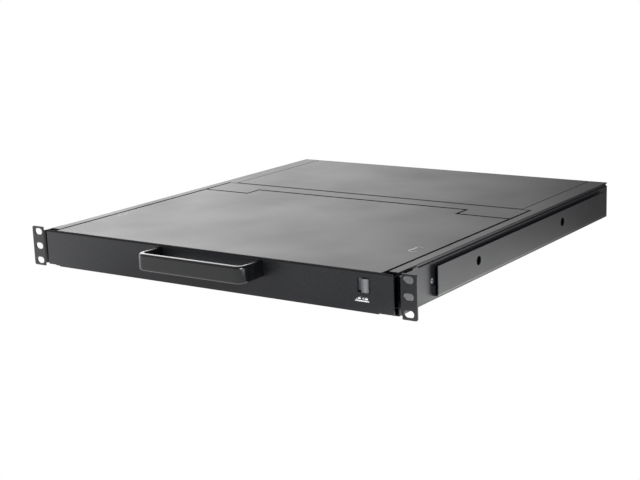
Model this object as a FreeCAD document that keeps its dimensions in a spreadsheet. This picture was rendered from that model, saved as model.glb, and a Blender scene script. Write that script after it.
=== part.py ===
"""Rack-mounted LCD console drawer: a one-unit chassis with a sliding keyboard tray and a folding screen.

Millimetres. X runs to the right, Y to the rear and Z up. The origin lies in the front plane of the rack
ears, in the middle of the pattern of rack holes. Heights in the sheet are counted from the underside of
the chassis, and every sub-part is lowered to the origin once it is made.
"""
import FreeCAD, Part
import math
import os
import re

import Sketcher

DOC = FreeCAD.newDocument("ConsoleDrawer")
SHEET = DOC.addObject("Spreadsheet::Sheet", "Sizes")

# Driving sizes: name, value in millimetres (degrees for angles), meaning.
DRIVING = [
    ("rack_width", 482.6, "overall width over the rack ears"),
    ("hole_margin", 8.75, "distance of the rack holes' middles from an ear's outer edge"),
    ("hole_pitch", 15.875, "height between neighbouring rack holes"),
    ("ear_height", 43.0, "height of a rack ear"),
    ("ear_base", 0.5, "height of an ear's lower edge"),
    ("ear_gauge", 1.5, "thickness of the ear brackets"),
    ("ear_bend", 3.0, "outside radius of an ear's bend"),
    ("ear_width", 23.3, "how far a rack ear reaches beyond the chassis wall"),
    ("ear_root", 7.4, "distance of an ear's flat plate from the chassis wall"),
    ("ear_flange", 26.0, "depth of an ear's flange behind its face"),
    ("ear_tab", 40.0, "depth of the ear bracket's foot on the wall"),
    ("ear_relief", 3.4, "height of the notches at an ear's bend"),
    ("slot_length", 10.5, "length of a rack hole"),
    ("slot_height", 7.0, "height of a rack hole"),
    ("chassis_depth", 488.0, "rear face of the chassis"),
    ("chassis_front", 8.0, "front edge of the chassis walls"),
    ("chassis_height", 41.5, "height of the chassis"),
    ("sheet_gauge", 1.2, "thickness of the chassis sheet"),
    ("wall_bend", 2.0, "outside radius of the folded sheet"),
    ("groove_height", 2.8, "height of the groove under the top strips"),
    ("groove_depth", 1.4, "depth of that groove"),
    ("strip_width", 10.4, "width of the top strips beside the lid"),
    ("strip_wide", 21.5, "width of the top strips beside the cover"),
    ("cover_space", 3.1, "gap between the hinge bar and the rear cover"),
    ("cover_gap", 1.2, "gap round the rear cover"),
    ("cover_hem", 6.0, "height of the cover's front hem"),
    ("ledge_width", 9.3, "width of the ledges that carry the cover"),
    ("rail_front", 70.5, "front end of the outer rails"),
    ("rail_end", 14.0, "distance of the outer rails' rear end from the rear face"),
    ("rail_reach", 5.2, "how far the outer rails stand out"),
    ("rail_low", 4.3, "underside of the outer rails"),
    ("rail_high", 33.8, "top edge of the outer rails"),
    ("rail_web", 9.5, "height of the outer rails' web on the wall"),
    ("rail_hole", 9.5, "width of the access holes in the outer rails"),
    ("rail_hole_height", 21.2, "height of the access holes"),
    ("rail_hole_front", 152.0, "place of the front access hole"),
    ("rail_hole_back", 350.0, "place of the rear access hole"),
    ("wall_screw_place", 67.5, "place of the bare screw on the wall"),
    ("wall_screw_height", 19.6, "height of the slide screws"),
    ("screw_head", 4.6, "width of the countersunk screw heads"),
    ("screw_bore", 1.6, "radius of the holes for the countersunk screws"),
    ("slide_mid", 18.5, "height of the slides' centre line"),
    ("slide_half", 12.5, "half height of a slide"),
    ("slide_front", 12.0, "front end of the outer slide members"),
    ("slide_end", 18.0, "distance of the slides' rear end from the rear face"),
    ("slide_thick", 12.8, "thickness of a closed slide"),
    ("slide_lip", 9.0, "depth of the outer member's flanges"),
    ("slide_gauge", 1.2, "thickness of the outer member"),
    ("middle_gauge", 1.0, "thickness of the middle and inner members"),
    ("middle_half", 8.3, "half height of the middle member"),
    ("middle_web", 3.2, "distance of the middle member's web from the wall"),
    ("middle_lip", 10.2, "reach of the middle member's flanges from the wall"),
    ("middle_short", 20.0, "how much shorter the middle members are"),
    ("inner_half", 4.6, "half height of the inner member"),
    ("inner_lip", 6.0, "distance of the inner member's flanges from the wall"),
    ("inner_short", 28.0, "how much shorter the inner members are"),
    ("ball_outer", 1.8, "radius of the balls on the outer member"),
    ("ball_outer_reach", 5.4, "distance of those balls from the wall"),
    ("ball_outer_rise", 9.8, "height of those balls from the centre line"),
    ("ball_inner", 1.6, "radius of the balls on the inner member"),
    ("ball_inner_reach", 8.0, "distance of those balls from the wall"),
    ("ball_inner_rise", 5.9, "height of those balls from the centre line"),
    ("ball_play", 0.08, "clearance of a ball in its groove"),
    ("cage_play", 0.15, "clearance of a ball in its cage"),
    ("cage_gauge", 0.6, "thickness of the ball cages"),
    ("cage_length", 120.0, "length of a ball cage"),
    ("cage_outer_front", 150.0, "front end of the cages on the outer members"),
    ("cage_inner_front", 170.0, "front end of the cages on the inner members"),
    ("tray_gauge", 1.2, "thickness of the tray sheet"),
    ("tray_low", 3.0, "underside of the tray"),
    ("tray_space", 1.0, "gap between the tray's sides and the closed screen"),
    ("tray_front", -0.3, "front face of the tray"),
    ("arm_short", 2.0, "how far the tray's arms end before the inner members"),
    ("panel_gauge", 1.5, "thickness of the front panel"),
    ("panel_low", 2.5, "lower edge of the front panel"),
    ("panel_step", 1.4, "height of the notches at the panel's lower corners"),
    ("panel_step_width", 15.0, "width of those notches"),
    ("panel_space", 0.2, "gap between the front panel and the closed lid"),
    ("panel_flange", 5.3, "depth of the panel's top flange"),
    ("handle_place", 6.0, "place of the handle's middle, right of the panel's"),
    ("handle_half", 66.4, "half width of the pull handle"),
    ("handle_low", 22.4, "underside of the handle"),
    ("handle_height", 17.2, "height of the handle"),
    ("handle_reach", 37.0, "distance of the handle's front from the ears"),
    ("handle_bar", 7.5, "thickness of the handle's grip"),
    ("handle_arm", 6.5, "thickness of the handle's arms"),
    ("handle_corner", 10.0, "outside radius of the handle's corners in plan"),
    ("handle_edge", 2.2, "radius of the handle's edges"),
    ("lock_window_left", 179.4, "left edge of the lock's window"),
    ("lock_window_width", 12.2, "width of the lock's window"),
    ("lock_window_low", 21.2, "lower edge of the lock's window"),
    ("lock_window_height", 14.2, "height of the lock's window"),
    ("lock_travel", 5.0, "sliding distance of the lock"),
    ("lock_nub", 6.4, "width of the lock's finger nub"),
    ("lock_play", 0.3, "gap round the lock's nub"),
    ("lid_gap", 3.0, "gap between the lid and the top strips"),
    ("lid_front", 0.0, "front edge of the lid"),
    ("lid_rear", 277.2, "rear edge of the lid"),
    ("lid_gauge", 0.9, "thickness of the lid's top"),
    ("lid_wall", 1.5, "thickness of the lid's walls"),
    ("lid_inset", 1.3, "distance of the lid's walls from its edge"),
    ("lid_body_front", 7.0, "front wall of the screen housing"),
    ("lid_depth", 10.5, "depth of the closed screen under the lid's top face"),
    ("bezel_gauge", 1.5, "thickness of the screen bezel"),
    ("notch_half", 141.0, "half width of the lid between its rear notches"),
    ("notch_space", 3.2, "gap between the lid's notches and the tabs"),
    ("screen_width", 367.0, "visible width of the screen"),
    ("screen_height", 229.0, "visible height of the screen"),
    ("screen_front", 14.5, "front edge of the visible screen"),
    ("bar_gap", 3.6, "gap between the lid and the hinge bar"),
    ("bar_width", 22.4, "width of the hinge bar"),
    ("tab_half", 143.5, "half width between the hinge bar's tabs"),
    ("tab_cover", 10.2, "how far the tabs reach over the hinge axis"),
    ("hinge_inset", 9.7, "distance of the hinge axis from the lid's rear edge"),
    ("hinge_drop", 5.9, "depth of the hinge axis under the lid's top face"),
    ("hinge_pin", 3.0, "radius of the hinge shafts"),
    ("hinge_play", 0.05, "running clearance of the hinge shafts"),
    ("block_inner", 146.0, "inner face of the hinge blocks"),
    ("block_outer", 196.0, "outer face of the hinge blocks"),
    ("deck_front", 3.0, "front edge of the keyboard deck"),
    ("deck_space", 2.1, "gap between the keyboard deck and the lid's notches"),
    ("deck_top", 22.0, "top face of the keyboard deck"),
    ("deck_gauge", 1.8, "thickness of the keyboard deck"),
    ("key_pitch", 19.05, "distance between neighbouring keys"),
    ("key_gap", 0.9, "gap between neighbouring keys"),
    ("key_columns", 19.0, "keys across the keyboard"),
    ("key_low", 22.4, "underside of the keycaps"),
    ("key_high", 27.8, "top of the keycaps"),
    ("key_taper", 2.4, "how far a keycap draws in at its top"),
    ("key_stem", 2.6, "width of the key stems"),
    ("stem_play", 0.35, "clearance of the key stems in their plate"),
    ("key_travel", 2.0, "travel of the keys"),
    ("keys_front", 126.0, "front edge of the keyboard"),
    ("function_row", 11.0, "depth of the row of function keys"),
    ("plate_top", 19.4, "top face of the key plate"),
    ("plate_gauge", 1.5, "thickness of the key plate"),
    ("pad_width", 78.0, "width of the touchpad"),
    ("pad_depth", 48.0, "depth of the touchpad"),
    ("pad_front", 46.0, "front edge of the touchpad"),
    ("button_depth", 13.0, "depth of the touchpad's buttons"),
    ("button_gap", 0.6, "gap round the touchpad and its buttons"),
    ("button_travel", 0.8, "travel of the touchpad's buttons"),
    ("inlet_place", -150.0, "place of the power inlet"),
    ("switch_place", -112.0, "place of the power switch"),
    ("video_place", 60.0, "place of the video socket"),
    ("usb_place", 100.0, "place of the keyboard socket"),
    ("port_height", 20.0, "height of the rear sockets' centre line"),
]

# Places that follow from the driving sizes.
DERIVED = {
    "hole_span": "(rack_width - 2 * hole_margin)",
    "chassis_half": "(rack_width / 2 - ear_width)",
    "ear_neck": "(chassis_half + ear_root)",
    "wall_inner": "(chassis_half - sheet_gauge)",
    "strip_front": "(chassis_half - strip_width)",
    "strip_rear": "(chassis_half - strip_wide)",
    "rail_back": "(chassis_depth - rail_end)",
    "slide_length": "(chassis_depth - slide_end - slide_front)",
    "middle_length": "(slide_length - middle_short)",
    "inner_length": "(slide_length - inner_short)",
    "tray_half": "(wall_inner - slide_thick)",
    "tray_side": "(lid_low - tray_space)",
    "tray_back": "bar_back",
    "arm_back": "(slide_front + inner_length - arm_short)",
    "panel_high": "(lid_under - panel_space)",
    "lid_half": "(strip_front - lid_gap)",
    "lid_top": "chassis_height",
    "lid_low": "(lid_top - lid_depth)",
    "hinge_place": "(lid_rear - hinge_inset)",
    "hinge_height": "(lid_top - hinge_drop)",
    "tab_front": "(hinge_place - tab_cover)",
    "notch_front": "(tab_front - notch_space)",
    "deck_back": "(notch_front - deck_space)",
    "bar_front": "(lid_rear + bar_gap)",
    "bar_back": "(bar_front + bar_width)",
    "bar_top": "lid_top",
    "cover_front": "(bar_back + cover_space)",
    "strip_low": "(chassis_height - sheet_gauge)",
    "groove_low": "(strip_low - groove_height)",
    "groove_inner": "(wall_inner - groove_depth)",
    "cover_half": "(strip_rear - cover_gap)",
    "ear_middle": "(ear_base + ear_height / 2)",
    "ear_top": "(ear_base + ear_height)",
    "slide_back": "(slide_front + slide_length)",
    "tray_floor": "(tray_low + tray_gauge)",
    "tray_wall": "(tray_half - tray_gauge)",
    "tray_inner_front": "(tray_front + tray_gauge)",
    "panel_front": "(tray_front - panel_gauge)",
    "lid_under": "(lid_top - lid_gauge)",
    "bar_low": "(bar_top - tray_gauge)",
    "deck_under": "(deck_top - deck_gauge)",
    "keys_half": "(key_columns * key_pitch / 2)",
    "keys_back": "(keys_front + 5 * key_pitch + function_row)",
    "handle_left": "(handle_place - handle_half)",
    "handle_right": "(handle_place + handle_half)",
    "handle_screw_left": "(handle_left + handle_arm / 2)",
    "handle_screw_right": "(handle_right - handle_arm / 2)",
    "lock_nub_left": "(lock_window_left + lock_window_width - lock_play - lock_nub)",
    "lock_window_high": "(lock_window_low + lock_window_height)",
}

# Places along the wall of the slides' screws.
SLIDE_SCREWS = ("wall_screw_place", "rail_hole_front", "rail_hole_back")

ALIASES = {name for name, value, meaning in DRIVING}
BODIES = []
CUTS = []
LOOSE = []


def fill_sheet():
    """Write the driving sizes into the spreadsheet."""
    for row, (name, value, meaning) in enumerate(DRIVING, 1):
        SHEET.set(f"A{row}", meaning)
        SHEET.set(f"B{row}", str(value))
        SHEET.setAlias(f"B{row}", name)
    DOC.recompute()


def linked(text):
    """Write an expression with its size names as cells of the spreadsheet."""

    def cell(word):
        name = word.group()
        if name in DERIVED:
            return linked(DERIVED[name])
        return f"Sizes.{name}" if name in ALIASES else name

    return re.sub(r"[a-z_]+", cell, str(text))


def number(text):
    """The present value of an expression."""
    return float(SHEET.evalExpression(linked(text)))


def bind(thing, prop, text):
    """Tie a property to an expression of the sheet's sizes."""
    thing.setExpression(prop, linked(text))


def new_body(label):
    """Start a sub-part."""
    body = DOC.addObject("PartDesign::Body", label)
    body.Label = label
    BODIES.append(body)
    return body


def new_sketch(body, plane, place):
    """Attach a sketch to one of the body's own planes, at a place along that plane's axis."""
    sketch = body.newObject("Sketcher::SketchObject", f"{body.Label}_sketch")
    role = f"{plane}_Plane"
    support = [face for face in body.Origin.OriginFeatures if face.Role == role][0]
    sketch.AttachmentSupport = [(support, "")]
    sketch.MapMode = "FlatFace"
    sign = "-1 * " if plane == "XZ" else ""
    bind(sketch, "AttachmentOffset.Base.z", f"{sign}({place})")
    return sketch


def fix_point(sketch, geometry, point, x, y):
    """Hold one point of a sketch at the given expressions."""
    for kind, text in (("DistanceX", x), ("DistanceY", y)):
        index = sketch.addConstraint(Sketcher.Constraint(kind, geometry, point, number(text)))
        bind(sketch, f"Constraints[{index}]", text)


def draw_polygon(sketch, corners):
    """Draw a closed outline through corners given as expressions."""
    first = sketch.GeometryCount
    places = [FreeCAD.Vector(number(x), number(y), 0) for x, y in corners]
    count = len(corners)
    for index in range(count):
        sketch.addGeometry(Part.LineSegment(places[index], places[(index + 1) % count]))
    for index, (x, y) in enumerate(corners):
        follower = first + (index + 1) % count
        sketch.addConstraint(Sketcher.Constraint("Coincident", first + index, 2, follower, 1))
        fix_point(sketch, first + index, 1, x, y)


def draw_box(sketch, low_x, low_y, high_x, high_y):
    """Draw a rectangle between two corners."""
    draw_polygon(sketch, [(low_x, low_y), (high_x, low_y), (high_x, high_y), (low_x, high_y)])


def draw_circle(sketch, x, y, radius):
    """Draw a circle."""
    middle = FreeCAD.Vector(number(x), number(y), 0)
    circle = sketch.addGeometry(Part.Circle(middle, FreeCAD.Vector(0, 0, 1), number(radius)))
    fix_point(sketch, circle, 3, x, y)
    index = sketch.addConstraint(Sketcher.Constraint("Radius", circle, number(radius)))
    bind(sketch, f"Constraints[{index}]", radius)


def draw_slot(sketch, x, y, length, width):
    """Draw a slot with round ends that lies along the sketch's first axis."""
    radius, reach = number(width) / 2, (number(length) - number(width)) / 2
    middle_x, middle_y = number(x), number(y)
    up, quarter = FreeCAD.Vector(0, 0, 1), 1.5707963
    ends = []
    for side in (1, -1):
        centre = FreeCAD.Vector(middle_x + side * reach, middle_y, 0)
        start = -side * quarter
        arc = Part.ArcOfCircle(Part.Circle(centre, up, radius), start, start + 2 * quarter)
        ends.append(sketch.addGeometry(arc))
    right, left = ends
    for end, side in ((right, "+"), (left, "-")):
        fix_point(sketch, end, 3, f"({x}) {side} (({length}) - ({width})) / 2", y)
        for point in (1, 2):
            sketch.addConstraint(Sketcher.Constraint("Vertical", end, point, end, 3))
        index = sketch.addConstraint(Sketcher.Constraint("Radius", end, radius))
        bind(sketch, f"Constraints[{index}]", f"({width}) / 2")
    for start, stop in ((right, left), (left, right)):
        line = sketch.addGeometry(Part.LineSegment(
            sketch.Geometry[start].EndPoint, sketch.Geometry[stop].StartPoint))
        sketch.addConstraint(Sketcher.Constraint("Coincident", line, 1, start, 2))
        sketch.addConstraint(Sketcher.Constraint("Coincident", line, 2, stop, 1))


DRAW = {"polygon": draw_polygon, "box": draw_box, "circle": draw_circle, "slot": draw_slot}


def add(body, plane, start, stop, *outlines):
    """Extrude outlines into the body from start to stop along the plane's axis."""
    sketch = new_sketch(body, plane, stop if plane == "XZ" else start)
    for kind, *values in outlines:
        DRAW[kind](sketch, *values)
    pad = body.newObject("PartDesign::Pad", f"{body.Label}_pad")
    pad.Profile = sketch
    bind(pad, "Length", f"({stop}) - ({start})")
    return pad


def cut(body, plane, start, stop, *outlines):
    """Cut outlines out of the body from start to stop along the plane's axis."""
    sketch = new_sketch(body, plane, start if plane == "XZ" else stop)
    for kind, *values in outlines:
        DRAW[kind](sketch, *values)
    base = body.Tip
    pocket = body.newObject("PartDesign::Pocket", f"{body.Label}_pocket")
    pocket.Profile = sketch
    bind(pocket, "Length", f"({stop}) - ({start})")
    CUTS.append((base, pocket))
    return pocket


def edges_along(shape, axis, corners):
    """Name the straight edges along one axis that run through the given corners."""
    across = [other for other in range(3) if other != axis]
    names = []
    for index, edge in enumerate(shape.Edges, 1):
        if len(edge.Vertexes) != 2 or abs(edge.tangentAt(edge.FirstParameter)[axis]) < 0.999:
            continue
        place = edge.Vertexes[0].Point
        for corner in corners:
            if all(abs(place[other] - number(text)) < 0.02 for other, text in zip(across, corner)):
                names.append(f"Edge{index}")
    return names


def round_edges(body, names, radius, kind="Fillet", prop="Radius"):
    """Round, or with kind Chamfer bevel, the named edges of the body's last feature."""
    base = body.Tip
    feature = body.newObject(f"PartDesign::{kind}", f"{body.Label}_{kind.lower()}")
    feature.Base = (base, names)
    bind(feature, prop, radius)
    return feature


def bend(body, axis, corners, radius):
    """Round the folds that run along one axis through the given corners."""
    DOC.recompute()
    return round_edges(body, edges_along(body.Shape, axis, corners), radius)


def row_of(body, feature, axis_role, span, count):
    """Repeat a feature in a straight row."""
    pattern = body.newObject("PartDesign::LinearPattern", f"{body.Label}_row")
    pattern.Originals = [feature]
    axis = [line for line in body.Origin.OriginFeatures if line.Role == axis_role][0]
    pattern.Direction = (axis, [""])
    bind(pattern, "Length", span)
    pattern.Occurrences = count
    body.Tip = pattern
    return pattern


def new_group(label, shape):
    """Keep a shape that is made of many like solids as one sub-part."""
    feature = DOC.addObject("Part::Feature", label)
    feature.Label = label
    feature.Shape = Part.makeCompound([shape])
    LOOSE.append(feature)
    return feature


def sided(side, text):
    """An expression on the right for side 1, and its mirror image on the left for side -1."""
    return f"{side} * ({text})"


def mirrored(side, points):
    """Mirror outline points for one side."""
    return [(sided(side, x), y) for x, y in points]


def span(side, near, far):
    """The two ends of a stretch of X on one side, lower end first."""
    return (near, far) if side > 0 else (f"-1 * ({far})", f"-1 * ({near})")


def side_name(side):
    """The word for one side."""
    return "right" if side > 0 else "left"


# ---------------------------------------------------------------- chassis


def chassis_pan():
    """The bottom sheet, with a row of vent slots under the electronics."""
    body = new_body("chassis_pan")
    add(body, "XY", "0", "sheet_gauge",
        ("box", "-1 * wall_inner", "chassis_front", "wall_inner", "chassis_depth - sheet_gauge"))
    vent = cut(body, "XY", "-1", "sheet_gauge + 1",
               ("box", "-146", "chassis_depth - 110", "-140", "chassis_depth - 30"))
    row_of(body, vent, "X_Axis", "286", 12)
    bend(body, 2, [("-1 * wall_inner", "chassis_front"), ("wall_inner", "chassis_front")], "sheet_gauge")


def countersink(body, plane_axis, place, radius, depth):
    """Bevel the round edges that lie in one plane, for flat screw heads."""
    DOC.recompute()
    names = []
    for index, edge in enumerate(body.Shape.Edges, 1):
        if not isinstance(edge.Curve, Part.Circle) or abs(edge.Curve.Radius - number(radius)) > 0.01:
            continue
        if abs(edge.Curve.Center[plane_axis] - number(place)) < 0.01:
            names.append(f"Edge{index}")
    round_edges(body, names, depth, "Chamfer", "Size")


def side_wall(side):
    """A folded wall: the web, joggled in under the top strip."""
    body = new_body(f"side_wall_{side_name(side)}")
    add(body, "XZ", "chassis_front", "chassis_depth", ("polygon", mirrored(side, [
        ("chassis_half", "0"),
        ("chassis_half", "groove_low"),
        ("groove_inner + sheet_gauge", "groove_low + groove_depth / 2"),
        ("groove_inner + sheet_gauge", "strip_low"),
        ("chassis_half", "strip_low"),
        ("chassis_half", "chassis_height"),
        ("strip_front", "chassis_height"),
        ("strip_front", "strip_low"),
        ("groove_inner", "strip_low"),
        ("groove_inner", "groove_low + groove_depth / 2 - 0.4"),
        ("wall_inner", "groove_low - 0.4"),
        ("wall_inner", "0")])))
    bend(body, 1, [(sided(side, "chassis_half"), "chassis_height")], "sheet_gauge / 3")
    bend(body, 1, [(sided(side, "chassis_half"), "0")], "sheet_gauge - 0.2")
    low, high = span(side, "wall_inner - 1", "chassis_half + 1")
    cut(body, "YZ", low, high,
        *[("circle", place, "wall_screw_height", "screw_bore") for place in SLIDE_SCREWS])
    countersink(body, 0, sided(side, "chassis_half"), "screw_bore", "screw_head / 2 - screw_bore + 0.03")


def cover_ledge(side):
    """The strip welded along a wall's top strip beside the rear cover, with the step that carries the cover."""
    body = new_body(f"cover_ledge_{side_name(side)}")
    low, high = span(side, "strip_rear", "strip_front")
    add(body, "XZ", "cover_front - cover_gap", "chassis_depth",
        ("box", low, "strip_low", high, "chassis_height"))
    low, high = span(side, "strip_rear - ledge_width + 2", "strip_rear + 2")
    add(body, "XZ", "cover_front + 2", "chassis_depth - 14",
        ("box", low, "strip_low - sheet_gauge", high, "strip_low"))


def ear_bracket(side):
    """A rack ear: a slotted plate, a flange beside the drawer, and a foot joggled in and welded to the wall."""
    body = new_body(f"ear_bracket_{side_name(side)}")
    flange = "(ear_neck - ear_bend)"
    add(body, "XY", "ear_base", "ear_top", ("polygon", mirrored(side, [
        ("rack_width / 2", "0"),
        (flange, "0"),
        (flange, "ear_flange"),
        ("chassis_half", "ear_flange + 5"),
        ("chassis_half", "ear_tab"),
        ("chassis_half + ear_gauge", "ear_tab"),
        ("chassis_half + ear_gauge", "ear_flange + 5.6"),
        (f"{flange} + ear_gauge", "ear_flange + 0.6"),
        (f"{flange} + ear_gauge", "ear_gauge"),
        ("rack_width / 2", "ear_gauge")])))
    bend(body, 2, [(sided(side, flange), "0")], "ear_bend")
    bend(body, 2, [(sided(side, f"{flange} + ear_gauge"), "ear_gauge")], "ear_bend - ear_gauge")
    low, high = span(side, "chassis_half - 1", "ear_neck + 0.2")
    for bottom, top in (("ear_base - 1", "ear_base + ear_relief"), ("ear_top - ear_relief", "ear_top + 1")):
        cut(body, "XY", bottom, top, ("box", low, "-1", high, "ear_tab + 1"))
    heights = ("ear_middle - hole_pitch", "ear_middle", "ear_middle + hole_pitch")
    cut(body, "XZ", "-1", "ear_gauge + 1",
        *[("slot", sided(side, "hole_span / 2"), height, "slot_length", "slot_height") for height in heights])
    outer = sided(side, "rack_width / 2")
    bend(body, 1, [(outer, "ear_base"), (outer, "ear_top")], "2")


def outer_rail(side):
    """The open-topped channel along the wall that takes a sliding rear bracket."""
    body = new_body(f"outer_rail_{side_name(side)}")
    face = "(chassis_half + rail_reach)"
    add(body, "XZ", "rail_front", "rail_back", ("polygon", mirrored(side, [
        ("chassis_half", "rail_low"),
        (face, "rail_low"),
        (face, "rail_high"),
        (f"{face} - sheet_gauge", "rail_high"),
        (f"{face} - sheet_gauge", "rail_low + sheet_gauge"),
        ("chassis_half + sheet_gauge", "rail_low + sheet_gauge"),
        ("chassis_half + sheet_gauge", "rail_low + rail_web"),
        ("chassis_half", "rail_low + rail_web")])))
    bend(body, 1, [(sided(side, face), "rail_low")], "wall_bend")
    bend(body, 1, [(sided(side, f"{face} - sheet_gauge"), "rail_low + sheet_gauge")],
         "wall_bend - sheet_gauge")
    low, high = span(side, f"{face} - sheet_gauge - 1", f"{face} + 1")
    cut(body, "YZ", low, high, ("circle", "rail_hole_front", "rail_hole_height", "rail_hole / 2"),
        ("circle", "rail_hole_back", "rail_hole_height", "rail_hole / 2"))


def rear_cover():
    """The plate over the electronics, flush between the wide ends of the strips, with a front hem."""
    body = new_body("rear_cover")
    add(body, "YZ", "-1 * cover_half", "cover_half", ("polygon", [
        ("cover_front", "chassis_height"),
        ("chassis_depth", "chassis_height"),
        ("chassis_depth", "strip_low"),
        ("cover_front + sheet_gauge", "strip_low"),
        ("cover_front + sheet_gauge", "chassis_height - cover_hem"),
        ("cover_front", "chassis_height - cover_hem")]))
    bend(body, 0, [("cover_front", "chassis_height")], "wall_bend")
    bend(body, 0, [("cover_front + sheet_gauge", "strip_low")], "wall_bend - sheet_gauge")


def rear_panel():
    """The rear sheet with the cut-outs for the sockets and a flange under the cover."""
    body = new_body("rear_panel")
    back = "(chassis_depth - sheet_gauge)"
    add(body, "YZ", "-1 * (strip_rear - ledge_width)", "strip_rear - ledge_width", ("polygon", [
        ("chassis_depth", "0"),
        ("chassis_depth", "strip_low"),
        ("chassis_depth - 12", "strip_low"),
        ("chassis_depth - 12", "strip_low - sheet_gauge"),
        (back, "strip_low - sheet_gauge"),
        (back, "0")]))
    bend(body, 0, [("chassis_depth", "strip_low")], "sheet_gauge")
    for side in (1, -1):
        low, high = span(side, "strip_rear - ledge_width", "wall_inner")
        add(body, "XZ", back, "chassis_depth", ("box", low, "0", high, "groove_low - 1.2"))
        low, high = span(side, "strip_rear - ledge_width", "groove_inner - 0.4")
        add(body, "XZ", back, "chassis_depth", ("box", low, "groove_low - 1.2", high, "strip_low"))
    cut(body, "XZ", f"{back} - 1", "chassis_depth + 1",
        ("box", "inlet_place - 13.7", "port_height - 10", "inlet_place + 13.7", "port_height + 10"),
        ("box", "switch_place - 6.4", "port_height - 9.4", "switch_place + 6.4", "port_height + 9.4"),
        ("polygon", [
            ("video_place - 8", "port_height - 5.4"),
            ("video_place + 8", "port_height - 5.4"),
            ("video_place + 9.6", "port_height + 4.4"),
            ("video_place - 9.6", "port_height + 4.4")]),
        ("circle", "video_place - 12.5", "port_height", "1.6"),
        ("circle", "video_place + 12.5", "port_height", "1.6"),
        ("box", "usb_place - 6.2", "port_height - 5.7", "usb_place + 6.2", "port_height + 5.7"))


def power_inlet():
    """The three-blade power inlet, snapped into the rear panel."""
    body = new_body("power_inlet")
    add(body, "XZ", "chassis_depth", "chassis_depth + 2.5",
        ("box", "inlet_place - 15.5", "port_height - 12", "inlet_place + 15.5", "port_height + 12"))
    add(body, "XZ", "chassis_depth - 20", "chassis_depth",
        ("box", "inlet_place - 13.5", "port_height - 9.8", "inlet_place + 13.5", "port_height + 9.8"))
    cut(body, "XZ", "chassis_depth - 15", "chassis_depth + 3", ("polygon", [
        ("inlet_place - 12", "port_height - 7.8"),
        ("inlet_place + 12", "port_height - 7.8"),
        ("inlet_place + 12", "port_height + 3.8"),
        ("inlet_place + 8", "port_height + 7.8"),
        ("inlet_place - 8", "port_height + 7.8"),
        ("inlet_place - 12", "port_height + 3.8")]))
    add(body, "XZ", "chassis_depth - 15", "chassis_depth - 3",
        ("box", "inlet_place - 1", "port_height + 1.5", "inlet_place + 1", "port_height + 5.5"),
        ("box", "inlet_place - 8", "port_height - 4.5", "inlet_place - 6", "port_height - 0.5"),
        ("box", "inlet_place + 6", "port_height - 4.5", "inlet_place + 8", "port_height - 0.5"))


def switch_housing():
    """The frame that the power switch rocks in."""
    body = new_body("switch_housing")
    add(body, "XZ", "chassis_depth", "chassis_depth + 1.8",
        ("box", "switch_place - 7.5", "port_height - 10.5", "switch_place + 7.5", "port_height + 10.5"))
    add(body, "XZ", "chassis_depth - 14", "chassis_depth",
        ("box", "switch_place - 6.2", "port_height - 9.2", "switch_place + 6.2", "port_height + 9.2"))
    cut(body, "XZ", "chassis_depth - 7", "chassis_depth + 2",
        ("box", "switch_place - 5", "port_height - 8.2", "switch_place + 5", "port_height + 8.2"))


def switch_rocker():
    """The rocker of the power switch, with its raised end and its trunnion."""
    body = new_body("switch_rocker")
    add(body, "YZ", "switch_place - 4.6", "switch_place + 4.6", ("polygon", [
        ("chassis_depth - 5.2", "port_height - 1.5"),
        ("chassis_depth - 3", "port_height - 6.6"),
        ("chassis_depth + 1.4", "port_height - 6.6"),
        ("chassis_depth + 1.9", "port_height"),
        ("chassis_depth + 3.4", "port_height + 6.6"),
        ("chassis_depth - 1", "port_height + 6.6"),
        ("chassis_depth - 5.2", "port_height + 1.5")]))


def video_socket():
    """The fifteen-way video socket: a D-shaped shell with three rows of contact holes and two posts."""
    body = new_body("video_socket")
    add(body, "XZ", "chassis_depth - 13", "chassis_depth - sheet_gauge",
        ("box", "video_place - 15.4", "port_height - 5.5", "video_place + 15.4", "port_height + 5.5"))
    add(body, "XZ", "chassis_depth - sheet_gauge", "chassis_depth + 5", ("polygon", [
        ("video_place - 7.4", "port_height - 4.6"),
        ("video_place + 7.4", "port_height - 4.6"),
        ("video_place + 8.6", "port_height + 3.6"),
        ("video_place - 8.6", "port_height + 3.6")]))
    for end in (1, -1):
        add(body, "XZ", "chassis_depth - sheet_gauge", "chassis_depth + 5.5",
            ("circle", f"video_place + {end} * 12.5", "port_height", "1.5"))
    rows = [("0.9", "port_height + 1.6", 5), ("0", "port_height - 0.5", 5), ("0.9", "port_height - 2.6", 5)]
    holes = []
    for shift, height, count in rows:
        for index in range(count):
            place = f"(video_place + {shift} + {index - 2} * 2.3 - 0.45)"
            holes.append(("box", f"{place} - 0.45", f"{height} - 0.45", f"{place} + 0.45", f"{height} + 0.45"))
    cut(body, "XZ", "chassis_depth + 1", "chassis_depth + 6", *holes)


def usb_socket():
    """The square socket for the keyboard link, with its tongue."""
    body = new_body("usb_socket")
    add(body, "XZ", "chassis_depth - 15", "chassis_depth + 1",
        ("box", "usb_place - 6", "port_height - 5.5", "usb_place + 6", "port_height + 5.5"))
    cut(body, "XZ", "chassis_depth - 9", "chassis_depth + 2", ("polygon", [
        ("usb_place - 4.3", "port_height - 3.9"),
        ("usb_place + 4.3", "port_height - 3.9"),
        ("usb_place + 4.3", "port_height + 2.2"),
        ("usb_place + 2.6", "port_height + 3.9"),
        ("usb_place - 2.6", "port_height + 3.9"),
        ("usb_place - 4.3", "port_height + 2.2")]))
    add(body, "XZ", "chassis_depth - 9", "chassis_depth - 1",
        ("box", "usb_place - 2.6", "port_height - 1.4", "usb_place + 2.6", "port_height + 1.4"))


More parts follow.
